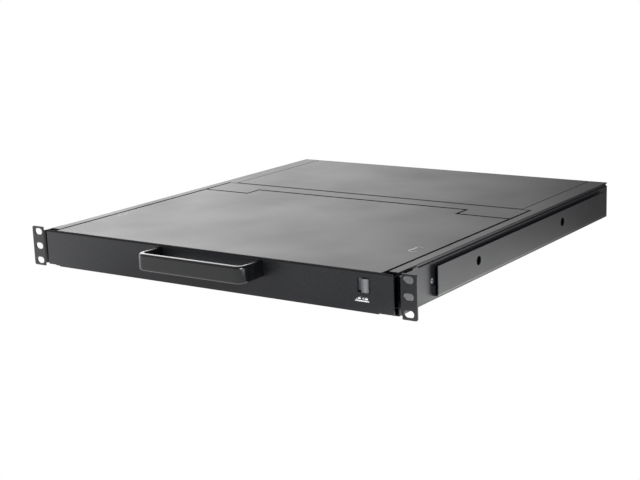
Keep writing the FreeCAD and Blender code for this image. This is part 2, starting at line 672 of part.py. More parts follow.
def power_supply():
    """The boxed power supply behind the inlet."""
    body = new_body("power_supply")
    add(body, "XY", "sheet_gauge", "strip_low - 4",
        ("box", "-184", "chassis_depth - 140", "-84", "chassis_depth - 22"))
    slot = cut(body, "XY", "strip_low - 5", "strip_low - 3",
               ("box", "-164", "chassis_depth - 121.5", "-104", "chassis_depth - 116.5"))
    row_of(body, slot, "Y_Axis", "80", 6)


def control_board():
    """The video and keyboard board, on four stand-offs."""
    body = new_body("control_board")
    low = "(port_height - 7.1)"
    add(body, "XY", low, f"{low} + 1.6",
        ("box", "20", "chassis_depth - 108", "150", "chassis_depth - 6"))
    corners = [(x, y) for x in ("26", "144") for y in ("chassis_depth - 102", "chassis_depth - 34")]
    add(body, "XY", "sheet_gauge", low,
        *[("box", f"{x} - 3", f"{y} - 3", f"{x} + 3", f"{y} + 3") for x, y in corners])
    add(body, "XY", f"{low} + 1.6", f"{low} + 4.5",
        ("box", "60", "chassis_depth - 84", "86", "chassis_depth - 58"),
        ("box", "104", "chassis_depth - 88", "118", "chassis_depth - 60"))


def ring(place, across, up, radius, sides):
    """A closed many-sided outline round a place, in the plane of two directions."""
    points = []
    for step in range(sides + 1):
        turn = 2 * math.pi * (step % sides) / sides
        points.append(place + across * (radius * math.cos(turn)) + up * (radius * math.sin(turn)))
    return Part.makePolygon(points)


def round_bar(place, direction, steps, sides=8):
    """A screw-like bar with few facets, through (distance, radius) steps along a direction."""
    up = FreeCAD.Vector(0, 0, 1)
    across = direction.cross(up)
    shape = None
    for (start, first), (stop, second) in zip(steps, steps[1:]):
        if stop == start:
            continue
        ends = [ring(place + direction * start, across, up, first, sides),
                ring(place + direction * stop, across, up, second, sides)]
        piece = Part.makeLoft(ends, True, True)
        shape = shape.fuse(piece) if shape else piece
    return shape


def countersunk(place, direction, head, length):
    """One countersunk screw whose flat head lies at the given place."""
    return round_bar(place, direction, [(0, head / 2), (head / 4, head / 4), (length, head / 4)])


def wall_screws():
    """The countersunk screws that hold the slides to the walls."""
    head = number("screw_head")
    screws = []
    for side in (1, -1):
        inward = FreeCAD.Vector(-side, 0, 0)
        for place in SLIDE_SCREWS:
            start = FreeCAD.Vector(side * number("chassis_half"), number(place), number("wall_screw_height"))
            screws.append(countersunk(start, inward, head, number("sheet_gauge + slide_gauge + 0.4")))
    new_group("wall_screws", Part.makeCompound(screws))


def latch_strike():
    """The strike that the lock's tongue meets, spot-welded inside the right wall."""
    body = new_body("latch_strike")
    add(body, "XY", "tray_side + 1.6", "tray_side + 6.6", ("polygon", [
        ("wall_inner", "chassis_front + 2"),
        ("wall_inner", "chassis_front + 22"),
        ("wall_inner - sheet_gauge", "chassis_front + 22"),
        ("wall_inner - sheet_gauge", "chassis_front + 2 + sheet_gauge"),
        ("wall_inner - 5", "chassis_front + 2 + sheet_gauge"),
        ("wall_inner - 5", "chassis_front + 2")]))


# ---------------------------------------------------------------- telescopic slides


def slide_points(side, section):
    """Outline points of a slide: distance in from the wall, and height from the centre line."""
    return [(sided(side, f"wall_inner - ({reach})"), f"slide_mid + ({rise})") for reach, rise in section]


def channel_section(web, lip, half, gauge, outwards=False):
    """The C section of a slide member, its flanges pointing away from the wall unless outwards."""
    inside = f"({web}) - ({gauge})" if outwards else f"({web}) + ({gauge})"
    return [
        (web, half), (lip, half), (lip, f"({half}) - ({gauge})"), (inside, f"({half}) - ({gauge})"),
        (inside, f"-1 * (({half}) - ({gauge}))"), (lip, f"-1 * (({half}) - ({gauge}))"),
        (lip, f"-1 * ({half})"), (web, f"-1 * ({half})")]


def groove(body, side, start, stop, reach, rise, radius):
    """Roll the ball grooves into a member's two flanges."""
    outlines = []
    for sign in (1, -1):
        outlines.append(("circle", sided(side, f"wall_inner - {reach}"), f"slide_mid + {sign} * {rise}",
                         f"{radius} + ball_play"))
    return cut(body, "XZ", start, stop, *outlines)


def slide_outer(side):
    """The fixed member of a slide, on the wall."""
    body = new_body(f"slide_outer_{side_name(side)}")
    section = channel_section("0", "slide_lip", "slide_half", "slide_gauge")
    add(body, "XZ", "slide_front", "slide_back", ("polygon", slide_points(side, section)))
    corners = slide_points(side, [("0", "slide_half"), ("0", "-1 * slide_half")])
    bend(body, 1, corners, "slide_gauge + 0.6")
    groove(body, side, "slide_front - 1", "slide_back + 1", "ball_outer_reach", "ball_outer_rise",
           "ball_outer")
    low, high = span(side, "wall_inner - slide_gauge - 0.5", "wall_inner + 0.5")
    cut(body, "YZ", low, high,
        *[("box", f"{place} - screw_bore", "wall_screw_height - screw_bore",
           f"{place} + screw_bore", "wall_screw_height + screw_bore") for place in SLIDE_SCREWS])


def slide_middle(side):
    """The travelling member between the fixed one and the drawer's."""
    body = new_body(f"slide_middle_{side_name(side)}")
    section = channel_section("middle_web", "middle_lip", "middle_half", "middle_gauge")
    start, stop = "(slide_front + 2)", "(slide_front + 2 + middle_length)"
    add(body, "XZ", start, stop, ("polygon", slide_points(side, section)))
    corners = slide_points(side, [("middle_web", "middle_half"), ("middle_web", "-1 * middle_half")])
    bend(body, 1, corners, "0.8")
    groove(body, side, f"{start} - 1", f"{stop} + 1", "ball_outer_reach", "ball_outer_rise", "ball_outer")
    groove(body, side, f"{start} - 1", f"{stop} + 1", "ball_inner_reach", "ball_inner_rise", "ball_inner")
    low, high = span(side, "wall_inner - middle_web - middle_gauge - 1", "wall_inner - middle_web + 1")
    hole = cut(body, "YZ", low, high,
               ("box", "slide_front + 32", "slide_mid - 3.5", "slide_front + 48", "slide_mid + 3.5"))
    row_of(body, hole, "Y_Axis", "360", 5)


def slide_inner(side):
    """The drawer's own member of a slide, on the side of the tray."""
    body = new_body(f"slide_inner_{side_name(side)}")
    section = channel_section("slide_thick", "inner_lip", "inner_half", "middle_gauge", outwards=True)
    start, stop = "(slide_front - 2)", "(slide_front - 2 + inner_length)"
    add(body, "XZ", start, stop, ("polygon", slide_points(side, section)))
    groove(body, side, f"{start} - 1", f"{stop} + 1", "ball_inner_reach", "ball_inner_rise", "ball_inner")


def faceted_ball(centre, radius, sides=8):
    """A bearing ball with few facets, because the slides hold more than thirty of them."""
    rings = [[centre + FreeCAD.Vector(0, 0, -radius)] * sides]
    for level in (-34, 34):
        flat, rise = radius * math.cos(math.radians(level)), radius * math.sin(math.radians(level))
        turns = [2 * math.pi * step / sides for step in range(sides)]
        rings.append([centre + FreeCAD.Vector(flat * math.cos(turn), flat * math.sin(turn), rise)
                      for turn in turns])
    rings.append([centre + FreeCAD.Vector(0, 0, radius)] * sides)
    faces = []
    for lower, upper in zip(rings, rings[1:]):
        for step in range(sides):
            follower = (step + 1) % sides
            corners = [lower[step], lower[follower], upper[follower], upper[step]]
            outline = [point for index, point in enumerate(corners)
                       if (point - corners[index - 1]).Length > 1e-6]
            faces.append(Part.Face(Part.makePolygon(outline + outline[:1])))
    return Part.Solid(Part.Shell(faces))


def slide_cage(side, name, front, web, lip, reach, rise, radius):
    """A ball cage: a thin channel with a window round each ball, and the balls in it."""
    body = new_body(f"{name}_strip_{side_name(side)}")
    BODIES.remove(body)
    half = f"({rise} + cage_gauge / 2)"
    section = channel_section(web, lip, half, "cage_gauge")
    add(body, "XZ", front, f"{front} + cage_length", ("polygon", slide_points(side, section)))
    places = [f"{front} + cage_length * {0.125 + 0.25 * index:.3f}" for index in range(4)]
    across = sided(side, f"wall_inner - {reach}")
    window = f"({radius} + cage_play)"
    cut(body, "XY", f"slide_mid - {half} - 1", f"slide_mid + {half} + 1",
        *[("box", f"{across} - {window}", f"{place} - {window}", f"{across} + {window}", f"{place} + {window}")
          for place in places])
    DOC.recompute()
    solids = [body.Shape.Solids[0]]
    for place in places:
        for sign in (1, -1):
            centre = FreeCAD.Vector(number(across), number(place), number(f"slide_mid + {sign} * {rise}"))
            solids.append(faceted_ball(centre, number(radius)))
    new_group(f"{name}_{side_name(side)}", Part.makeCompound(solids))


def slides(side):
    """One telescopic ball slide."""
    slide_outer(side)
    slide_middle(side)
    slide_inner(side)
    slide_cage(side, "cage_outer", "cage_outer_front", "(slide_gauge + 0.7)", "8",
               "ball_outer_reach", "ball_outer_rise", "ball_outer")
    slide_cage(side, "cage_inner", "cage_inner_front", "(middle_web + middle_gauge + 0.6)", "10.6",
               "ball_inner_reach", "ball_inner_rise", "ball_inner")


# ---------------------------------------------------------------- drawer


def drawer_tray():
    """The sliding tray: floor, sides that run on as arms, and its front and rear walls."""
    body = new_body("drawer_tray")
    add(body, "XZ", "tray_front", "arm_back", ("polygon", [
        ("-1 * tray_half", "tray_low"), ("tray_half", "tray_low"), ("tray_half", "tray_side"),
        ("tray_wall", "tray_side"), ("tray_wall", "tray_floor"), ("-1 * tray_wall", "tray_floor"),
        ("-1 * tray_wall", "tray_side"), ("-1 * tray_half", "tray_side")]))
    bend(body, 1, [("-1 * tray_half", "tray_low"), ("tray_half", "tray_low")], "tray_gauge + 0.6")
    cut(body, "XY", "tray_low - 1", "tray_floor + 4",
        ("box", "-1 * tray_wall", "tray_back", "tray_wall", "arm_back + 1"))
    cut(body, "YZ", "-1 * tray_half - 1", "tray_half + 1",
        ("polygon", [("tray_back + 6", "tray_low - 1"), ("arm_back + 1", "tray_low - 1"),
                     ("arm_back + 1", "slide_mid - 7"), ("tray_back + 14", "slide_mid - 7")]),
        ("polygon", [("tray_back + 6", "tray_side + 1"), ("tray_back + 14", "slide_mid + 7"),
                     ("arm_back + 1", "slide_mid + 7"), ("arm_back + 1", "tray_side + 1")]))
    add(body, "XZ", "tray_front", "tray_inner_front",
        ("box", "-1 * tray_wall", "tray_floor", "tray_wall", "panel_high - panel_gauge - 1"))
    add(body, "XZ", "tray_back - tray_gauge", "tray_back",
        ("box", "-1 * tray_wall", "tray_floor", "tray_wall", "bar_low"))
    cut(body, "XZ", "tray_front - 1", "tray_inner_front + 1",
        ("polygon", [
            ("lock_nub_left - lock_travel - 12", "lock_window_low - 4"),
            ("tray_wall - 3", "lock_window_low - 4"), ("tray_wall - 3", "tray_side + 0.8"),
            ("tray_wall + 1", "tray_side + 0.8"), ("tray_wall + 1", "lock_window_high + 2"),
            ("lock_nub_left - lock_travel - 12", "lock_window_high + 2")]),
        ("circle", "handle_screw_left", "handle_low + handle_height / 2", "2.2"),
        ("circle", "handle_screw_right", "handle_low + handle_height / 2", "2.2"))
    cut(body, "XZ", "tray_back - tray_gauge - 1", "tray_back + 1",
        ("slot", "0", "slide_mid", "60", "14"))
    seat = "(lock_nub_left - 7 - 9.8)"
    middle = "(lock_window_low + lock_window_height / 2)"
    add(body, "XZ", "tray_front", "tray_inner_front + 4",
        ("box", f"{seat} - 2.5", f"{middle} - 3", seat, f"{middle} + 3"))


def front_panel():
    """The folded front panel with its stepped lower corners and the lock's window."""
    body = new_body("front_panel")
    step = "(chassis_half - panel_step_width)"
    add(body, "XZ", "panel_front", "tray_front", ("polygon", [
        ("-1 * chassis_half", "panel_low + panel_step"), (f"-1 * {step}", "panel_low + panel_step"),
        (f"-1 * {step} + 1.5", "panel_low"), (f"{step} - 1.5", "panel_low"),
        (step, "panel_low + panel_step"), ("chassis_half", "panel_low + panel_step"),
        ("chassis_half", "panel_high"), ("-1 * chassis_half", "panel_high")]))
    add(body, "XZ", "tray_front", "tray_front + panel_flange",
        ("box", "-1 * tray_wall", "panel_high - panel_gauge", "tray_wall", "panel_high"))
    bend(body, 0, [("panel_front", "panel_high")], "1")
    corners = [(f"{side} * chassis_half", "panel_low + panel_step") for side in (-1, 1)]
    bend(body, 1, corners, "1.2")
    cut(body, "XZ", "panel_front - 1", "tray_front + 1",
        ("box", "lock_window_left", "lock_window_low",
         "lock_window_left + lock_window_width", "lock_window_high"),
        ("circle", "handle_screw_left", "handle_low + handle_height / 2", "2.2"),
        ("circle", "handle_screw_right", "handle_low + handle_height / 2", "2.2"))


def pull_handle():
    """The moulded pull: a grip on two arms, with round corners in plan and soft edges."""
    body = new_body("pull_handle")
    top = "(handle_low + handle_height)"
    left, right = "(handle_left + handle_arm)", "(handle_right - handle_arm)"
    front, back = "-1 * handle_reach", "(-1 * handle_reach + handle_bar)"
    add(body, "XY", "handle_low", top, ("polygon", [
        ("handle_left", "panel_front"), ("handle_left", front), ("handle_right", front),
        ("handle_right", "panel_front"), (right, "panel_front"), (right, back),
        (left, back), (left, "panel_front")]))
    bend(body, 2, [("handle_left", front), ("handle_right", front)], "handle_corner")
    bend(body, 2, [(left, back), (right, back)], "handle_corner / 2")
    DOC.recompute()
    rims = []
    for index, edge in enumerate(body.Shape.Edges, 1):
        box = edge.BoundBox
        flat = box.ZLength < 0.001 and box.YMax < number("panel_front") + 0.01
        if flat and not (box.YLength < 0.001 and abs(box.YMax - number("panel_front")) < 0.01):
            rims.append(f"Edge{index}")
    round_edges(body, rims, "handle_edge")


def handle_screws():
    """The two screws that pull the handle against the panel from behind."""
    screws = []
    for across in ("handle_screw_left", "handle_screw_right"):
        front = FreeCAD.Vector(number(across), number("panel_front"), number("handle_low + handle_height / 2"))
        depth = number("tray_inner_front - panel_front")
        steps = [(0, 2.0), (depth, 2.0), (depth, 3.6), (depth + 2.2, 3.6)]
        screws.append(round_bar(front, FreeCAD.Vector(0, 1, 0), steps))
    new_group("handle_screws", Part.makeCompound(screws))


def lock_slider():
    """The lock: a backing plate, a fluted finger nub in the window, and a tongue to the strike."""
    body = new_body("lock_slider")
    back = "(tray_front + 0.2)"
    right = "(lock_nub_left + lock_nub)"
    add(body, "XZ", back, f"{back} + 1.4",
        ("box", "lock_nub_left - 7", "lock_window_low - 1.5", f"{right} + lock_travel + 1.5",
         "lock_window_high + 1"))
    add(body, "XZ", "panel_front - 1.9", back,
        ("box", "lock_nub_left", "lock_window_low + lock_play",
         right, "lock_window_high - lock_play"))
    add(body, "XZ", back, f"{back} + 1.4",
        ("box", f"{right} + lock_travel", "tray_side + 2", "wall_inner - 5.6", "tray_side + 6"))
    add(body, "XZ", f"{back} + 1.4", "chassis_front + 9",
        ("box", "wall_inner - 7", "tray_side + 2", "wall_inner - 5.6", "tray_side + 6"))
    flute = cut(body, "XY", "lock_window_low", "lock_window_high",
                ("box", "lock_nub_left + 0.8", "panel_front - 2", "lock_nub_left + 1.4", "panel_front - 1.4"))
    row_of(body, flute, "X_Axis", "lock_nub - 2.2", 4)


def lock_spring():
    """The coil spring that pushes the lock back to its shut end."""
    start = FreeCAD.Vector(number("lock_nub_left - 7 - 9.5"), number("tray_front + 2.2"),
                           number("lock_window_low + lock_window_height / 2"))
    wire, coil_radius, pitch, length = 0.6, 1.6, 4.5, 9.0
    helix = Part.makeHelix(pitch, length, coil_radius)
    profile = Part.makePolygon([
        FreeCAD.Vector(coil_radius + x * wire / 2, 0, y * wire / 2)
        for x, y in ((-1, -1), (1, -1), (1, 1), (-1, 1), (-1, -1))])
    coil = Part.Wire(helix.Edges).makePipeShell([profile], True, True)
    coil.rotate(FreeCAD.Vector(0, 0, 0), FreeCAD.Vector(0, 1, 0), 90)
    coil.translate(start)
    new_group("lock_spring", coil)


def hinge_bar():
    """The plate behind the lid, on the tray's rear wall, with a tab over each hinge."""
    body = new_body("hinge_bar")
    add(body, "XY", "bar_low", "bar_top", ("polygon", [
        ("-1 * lid_half", "tab_front"), ("-1 * tab_half", "tab_front"), ("-1 * tab_half", "bar_front"),
        ("tab_half", "bar_front"), ("tab_half", "tab_front"), ("lid_half", "tab_front"),
        ("lid_half", "bar_back"), ("-1 * lid_half", "bar_back")]))
    corners = [(f"{side} * {across}", "tab_front") for side in (-1, 1) for across in ("lid_half", "tab_half")]
    bend(body, 2, corners, "1.2")


def hinge_block(side):
    """The friction hinge's housing on the tray floor, bored for its shaft."""
    body = new_body(f"hinge_block_{side_name(side)}")
    low, high = span(side, "block_inner", "block_outer")
    add(body, "YZ", low, high, ("polygon", [
        ("hinge_place - 8", "tray_floor"), ("hinge_place + 24", "tray_floor"),
        ("hinge_place + 24", "bar_low - 12"), ("hinge_place + 10", "bar_low"),
        ("hinge_place - 8", "bar_low")]))
    bend(body, 0, [("hinge_place - 8", "bar_low")], "2.5")
    cut(body, "YZ", f"{low} - 1", f"{high} + 1",
        ("circle", "hinge_place", "hinge_height", "hinge_pin + hinge_play"))
    low, high = span(side, "block_inner + 12", "block_outer - 12")
    cut(body, "YZ", low, high, ("box", "hinge_place + 8", "tray_floor + 3", "hinge_place + 25", "bar_low - 14"))


def keyboard_deck():
    """The moulded deck: a plate on skirts with openings for the keys, the touchpad and its buttons."""
    body = new_body("keyboard_deck")
    half = "(tray_wall - 0.8)"
    add(body, "XY", "tray_floor", "deck_top", ("box", f"-1 * {half}", "deck_front", half, "deck_back"))
    bend(body, 0, [("deck_front", "deck_top"), ("deck_back", "deck_top")], "1.5")
    cut(body, "XY", "tray_floor - 1", "deck_under",
        ("box", f"-1 * {half} + 2", "deck_front + 2", f"{half} - 2", "deck_back - 2"))
    for side in (1, -1):
        add(body, "XY", "deck_under", "lid_low - 2.8",
            ("circle", sided(side, "screen_width / 2 + 7"), "lid_body_front + 7", "4.5"))
    pad_back = "(pad_front + pad_depth)"
    cut(body, "XY", "deck_under - 1", "deck_top + 1",
        ("box", "-1 * keys_half - 1", "keys_front - 1", "keys_half + 1", "keys_back + 1"),
        ("box", "-1 * pad_width / 2 - button_gap", "pad_front - button_depth - 2 * button_gap",
         "pad_width / 2 + button_gap", f"{pad_back} + button_gap"))


def key_plate():
    """The plate under the keys, with one long guide slot for the stems of each row."""
    body = new_body("key_plate")
    add(body, "XY", "plate_top - plate_gauge", "plate_top",
        ("box", "-1 * keys_half - 4", "keys_front - 4", "keys_half + 4", "keys_back + 4"))
    legs = [(x, y) for x in ("-1 * keys_half", "0", "keys_half") for y in ("keys_front - 1.5", "keys_back + 1.5")]
    add(body, "XY", "tray_floor", "plate_top - plate_gauge",
        *[("box", f"{x} - 1.5", f"{y} - 1.5", f"{x} + 1.5", f"{y} + 1.5") for x, y in legs])
    slots = []
    for row in range(6):
        middle = row_middle(row)
        slots.append(("box", "-1 * keys_half + 2", f"{middle} - key_stem / 2 - stem_play",
                      "keys_half - 2", f"{middle} + key_stem / 2 + stem_play"))
    cut(body, "XY", "plate_top - plate_gauge - 1", "plate_top + 1", *slots)


def row_middle(row):
    """Place of the middle of a row of keys, counted from the front."""
    if row < 5:
        return f"(keys_front + {row + 0.5} * key_pitch)"
    return "(keys_front + 5 * key_pitch + function_row / 2)"


# Rows of keys from the front: name, and the keys' widths in key pitches from the left.
KEY_ROWS = [
    ("bottom", [1.25] * 3 + [None] + [1] * 5 + [2, 1, 1]),
    ("lower", [2.25] + [1] * 10 + [1.75] + [1] * 5),
    ("home", [1.75] + [1] * 11 + [2.25] + [1] * 4),
    ("upper", [1.5] + [1] * 12 + [1.5] + [1] * 4),
    ("number", [1] * 13 + [2] + [1] * 4),
    ("function", [1] * 19),
]
SPACE_WIDTH = 6.25


def key_row(row):
    """One row of keys, and the space bar of the bottom row as a sub-part of its own."""
    name, widths = KEY_ROWS[row]
    middle = number(row_middle(row))
    depth = number("function_row") if row == 5 else number("key_pitch")
    left = -number("keys_half")
    keys = []
    for width in widths:
        units = SPACE_WIDTH if width is None else width
        key = solid_key(left, units, middle, depth)
        if width is None:
            new_group("key_space_bar", key)
        else:
            keys.append(key)
        left += units * number("key_pitch")
    new_group(f"keys_{name}_row", Part.makeCompound(keys))


def solid_key(left, units, middle, depth):
    """A tapered keycap, its top set back towards the typist, fused with its stem."""
    gap, taper = number("key_gap"), number("key_taper")
    low, high = number("key_low"), number("key_high")
    start, stop = left + gap / 2, left + units * number("key_pitch") - gap / 2
    front, back = middle - depth / 2 + gap / 2, middle + depth / 2 - gap / 2
    lean = min(taper, (back - front) / 5)
    cap = Part.makeWedge(start, low, -back, -(back - 1.4 * lean), start + taper,
                         stop, high, -front, -(front + 0.6 * lean), stop - taper)
    cap.rotate(FreeCAD.Vector(0, 0, 0), FreeCAD.Vector(1, 0, 0), 90)
    stem = number("key_stem")
    reach = low - number("plate_top - plate_gauge") - number("key_travel") / 4
    corner = FreeCAD.Vector((start + stop - stem) / 2, middle - stem / 2, low - reach)
    return cap.fuse(Part.makeBox(stem, stem, reach, corner))


def touchpad():
    """The touch surface on its carrier."""
    body = new_body("touchpad")
    add(body, "XY", "deck_under - 2", "deck_top - 0.5",
        ("box", "-1 * pad_width / 2", "pad_front", "pad_width / 2", "pad_front + pad_depth"))
    add(body, "XY", "tray_floor", "deck_under - 2",
        ("box", "-1 * pad_width / 2 - 3", "pad_front + pad_depth - 8", "pad_width / 2 + 3", "pad_front + pad_depth + 3"),
        ("box", "-1 * pad_width / 2 - 3", "pad_front + 2", "pad_width / 2 + 3", "pad_front + 8"))


def touch_button(side):
    """One of the two buttons in front of the touchpad, on its plunger."""
    body = new_body(f"touch_button_{side_name(side)}")
    low, high = span(side, "button_gap / 2", "pad_width / 2")
    front = "(pad_front - button_gap - button_depth)"
    add(body, "XY", "deck_under - 0.5", "deck_top - 0.2", ("box", low, front, high, f"{front} + button_depth"))
    low, high = span(side, "pad_width / 4 - 2", "pad_width / 4 + 2")
    add(body, "XY", "tray_floor + button_travel + 0.2", "deck_under - 0.5",
        ("box", low, f"{front} + 4", high, f"{front} + 8"))


# ---------------------------------------------------------------- screen


def lid_outline(inset, front):
    """The lid's outline with its two rear notches, drawn in by an inset."""
    half, notch = f"(lid_half - ({inset}))", f"(notch_half - ({inset}))"
    rear, step = f"(lid_rear - ({inset}))", f"(notch_front - ({inset}))"
    return [
        (f"-1 * {half}", front), (half, front), (half, step), (notch, step), (notch, rear),
        (f"-1 * {notch}", rear), (f"-1 * {notch}", step), (f"-1 * {half}", step)]


def lid_shell():
    """The lid: its top sheet over the front panel, and the walls of the screen housing."""
    body = new_body("lid_shell")
    add(body, "XY", "lid_under", "lid_top", ("polygon", lid_outline("0", "lid_front")))
    corners = [("-1 * lid_half", "lid_front"), ("lid_half", "lid_front")]
    bend(body, 2, corners, "1.5")
    DOC.recompute()
    rims = []
    for index, edge in enumerate(body.Shape.Edges, 1):
        box = edge.BoundBox
        if box.ZLength < 0.001 and abs(box.ZMax - number("lid_top")) < 0.01:
            rims.append(f"Edge{index}")
    round_edges(body, rims, "lid_gauge - 0.5", "Chamfer", "Size")
    add(body, "XY", "lid_low + bezel_gauge", "lid_under", ("polygon", lid_outline("lid_inset", "lid_body_front")))
    inner = lid_outline("lid_inset + lid_wall", "lid_body_front + lid_wall")
    cut(body, "XY", "lid_low + bezel_gauge - 1", "lid_under", ("polygon", inner))
    for side in (1, -1):
        low, high = span(side, "notch_half - lid_inset - lid_wall - 1", "notch_half + 1")
        cut(body, "YZ", low, high, ("circle", "hinge_place", "hinge_height", "hinge_pin + hinge_play"))


def screen_bezel():
    """The frame round the screen, on the underside of the closed lid."""
    body = new_body("screen_bezel")
    add(body, "XY", "lid_low", "lid_low + bezel_gauge",
        ("polygon", lid_outline("lid_inset", "lid_body_front")))
    cut(body, "XY", "lid_low - 1", "lid_low + bezel_gauge + 1",
        ("box", "-1 * screen_width / 2", "screen_front", "screen_width / 2", "screen_front + screen_height"))
    DOC.recompute()
    window = [("-1 * screen_width / 2", "lid_low"), ("screen_width / 2", "lid_low")]
    round_edges(body, edges_along(body.Shape, 1, window), "0.8", "Chamfer", "Size")


def screen_panel():
    """The liquid-crystal panel in the housing."""
    body = new_body("screen_panel")
    add(body, "XY", "lid_low + bezel_gauge", "lid_low + bezel_gauge + 6",
        ("box", "-1 * screen_width / 2 - 5", "screen_front - 5",
         "screen_width / 2 + 5", "screen_front + screen_height + 5"))


def screen_keypad():
    """The row of menu keys on the bezel, behind the screen when the lid is shut."""
    body = new_body("screen_keypad")
    add(body, "XY", "lid_low - 0.6", "lid_low",
        *[("box", f"{index - 2} * 14 - 4.5", "screen_front + screen_height + 7",
           f"{index - 2} * 14 + 4.5", "screen_front + screen_height + 11") for index in range(5)])


def screen_bumpers():
    """The rubber pads that the shut screen rests on, at the bezel's front corners."""
    pads = []
    for side in (1, -1):
        across, along = number("screen_width / 2 + 7"), number("lid_body_front + 7")
        centre = FreeCAD.Vector(side * across, along, number("lid_low"))
        pads.append(Part.makeCylinder(3.5, 2.5, centre, FreeCAD.Vector(0, 0, -1)))
    new_group("screen_bumpers", Part.makeCompound(pads))


def hinge_arm(side):
    """The shaft of a hinge and the leaf that carries the screen on it."""
    body = new_body(f"hinge_arm_{side_name(side)}")
    low, high = span(side, "notch_half - 30", "block_outer - 4")
    add(body, "YZ", low, high, ("circle", "hinge_place", "hinge_height", "hinge_pin"))
    low, high = span(side, "notch_half - 70", "notch_half - 6")
    add(body, "YZ", low, high, ("polygon", [
        ("hinge_place - 14", "lid_under - 1.8"), ("hinge_place + 5", "lid_under - 1.8"),
        ("hinge_place + 5", "lid_under"), ("hinge_place - 14", "lid_under")]))
    low, high = span(side, "notch_half - 30", "notch_half - 6")
    add(body, "YZ", low, high,
        ("box", "hinge_place - 1.5", "hinge_height", "hinge_place + 1.5", "lid_under - 1.8"))


def build():
    """Make every sub-part."""
    fill_sheet()
    chassis_pan()
    rear_cover()
    rear_panel()
    power_inlet()
    switch_housing()
    switch_rocker()
    video_socket()
    usb_socket()
    power_supply()
    control_board()
    wall_screws()
    latch_strike()
    drawer_tray()
    front_panel()
    pull_handle()
    handle_screws()
    lock_slider()
    lock_spring()
    hinge_bar()
    keyboard_deck()
    key_plate()
    touchpad()
    lid_shell()
    screen_bezel()
    screen_panel()
    screen_keypad()
    screen_bumpers()
    for row in range(len(KEY_ROWS)):
        key_row(row)
    for side in (1, -1):
        side_wall(side)
        cover_ledge(side)
        ear_bracket(side)
        outer_rail(side)
        slides(side)
        hinge_block(side)
        touch_button(side)
        hinge_arm(side)


def check_and_export():
    """Refuse a failed feature or an empty cut, then write each sub-part's file."""
    DOC.recompute()
    for thing in DOC.Objects:
        if "Invalid" in thing.State or "Error" in thing.State:
            raise RuntimeError(f"{thing.Label} failed: {thing.State}")
    for base, pocket in CUTS:
        if pocket.Shape.Volume > base.Shape.Volume - 0.01:
            raise RuntimeError(f"{pocket.Label} cuts nothing")
    os.makedirs("parts", exist_ok=True)
    for thing in BODIES + LOOSE:
        bind(thing, "Placement.Base.z", "-1 * ear_middle")
    DOC.recompute()
    for thing in BODIES + LOOSE:
        if thing.Shape.isNull() or not thing.Shape.isValid():
            raise RuntimeError(f"{thing.Label} has no valid shape")
        thing.Shape.exportStep(f"parts/{thing.Label}.step")
        print(f"{thing.Label}: {len(thing.Shape.Solids)} solids, {thing.Shape.Volume:.0f} mm3")


build()
check_and_export()
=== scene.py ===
import math
import bmesh
import bpy
from mathutils import Matrix, Vector


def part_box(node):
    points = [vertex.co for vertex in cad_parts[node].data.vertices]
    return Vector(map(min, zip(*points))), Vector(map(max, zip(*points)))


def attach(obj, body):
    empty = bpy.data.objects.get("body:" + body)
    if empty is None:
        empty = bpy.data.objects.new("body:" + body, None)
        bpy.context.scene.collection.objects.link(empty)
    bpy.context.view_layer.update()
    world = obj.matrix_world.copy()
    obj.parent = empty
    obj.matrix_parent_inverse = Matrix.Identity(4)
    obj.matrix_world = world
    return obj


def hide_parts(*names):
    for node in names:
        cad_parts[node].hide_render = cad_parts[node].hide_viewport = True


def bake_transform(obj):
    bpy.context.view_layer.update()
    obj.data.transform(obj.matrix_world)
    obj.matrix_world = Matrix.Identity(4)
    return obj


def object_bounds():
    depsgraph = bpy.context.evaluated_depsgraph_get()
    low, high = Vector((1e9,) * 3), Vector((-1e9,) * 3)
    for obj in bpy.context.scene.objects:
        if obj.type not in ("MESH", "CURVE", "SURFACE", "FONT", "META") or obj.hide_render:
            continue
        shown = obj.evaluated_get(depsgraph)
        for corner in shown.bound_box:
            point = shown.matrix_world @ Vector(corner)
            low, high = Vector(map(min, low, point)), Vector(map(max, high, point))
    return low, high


bl_info = {
    "name": "Rack console drawer",
    "version": (1, 0, 0),
    "blender": (4, 5, 0),
    "location": "3D View > Sidebar > Console drawer",
    "description": "Finishes a one-unit console drawer with a keyboard tray and a folding screen",
    "category": "Object",
}

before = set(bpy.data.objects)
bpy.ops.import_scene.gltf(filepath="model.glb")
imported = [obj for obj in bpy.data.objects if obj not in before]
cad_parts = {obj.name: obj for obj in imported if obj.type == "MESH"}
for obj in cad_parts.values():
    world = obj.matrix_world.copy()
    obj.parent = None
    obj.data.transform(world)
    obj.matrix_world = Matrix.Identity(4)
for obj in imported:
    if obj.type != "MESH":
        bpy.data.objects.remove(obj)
CAD_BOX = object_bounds()
MM = 0.001
# A run for metal that has no streaks.
EVEN = (1.0, 1.0, 1.0)


# ---------------------------------------------------------------- materials


def linear(code):
    """An sRGB hex colour as a linear one, with full alpha."""
    parts = [int(code[start:start + 2], 16) / 255 for start in (0, 2, 4)]
    return [part / 12.92 if part <= 0.04045 else ((part + 0.055) / 1.055) ** 2.4
            for part in parts] + [1.0]


def node(tree, kind, inputs=None, **options):
    """Add a node with its options; an input is a value, or a node and the name of its output."""
    made = tree.nodes.new(kind)
    for name, value in options.items():
        setattr(made, name, value)
    for name, value in (inputs or {}).items():
        socket = made.inputs[name]
        if isinstance(value, tuple) and isinstance(value[0], bpy.types.Node):
            tree.links.new(value[0].outputs[value[1]], socket)
        else:
            socket.default_value = value
    return made


def start_material(name):
    """A new material, its empty tree, and the output that gives a point's place on its object."""
    material = bpy.data.materials.new(name)
    material.use_nodes = True
    tree = material.node_tree
    tree.nodes.clear()
    return material, tree, (node(tree, "ShaderNodeTexCoord"), "Object")


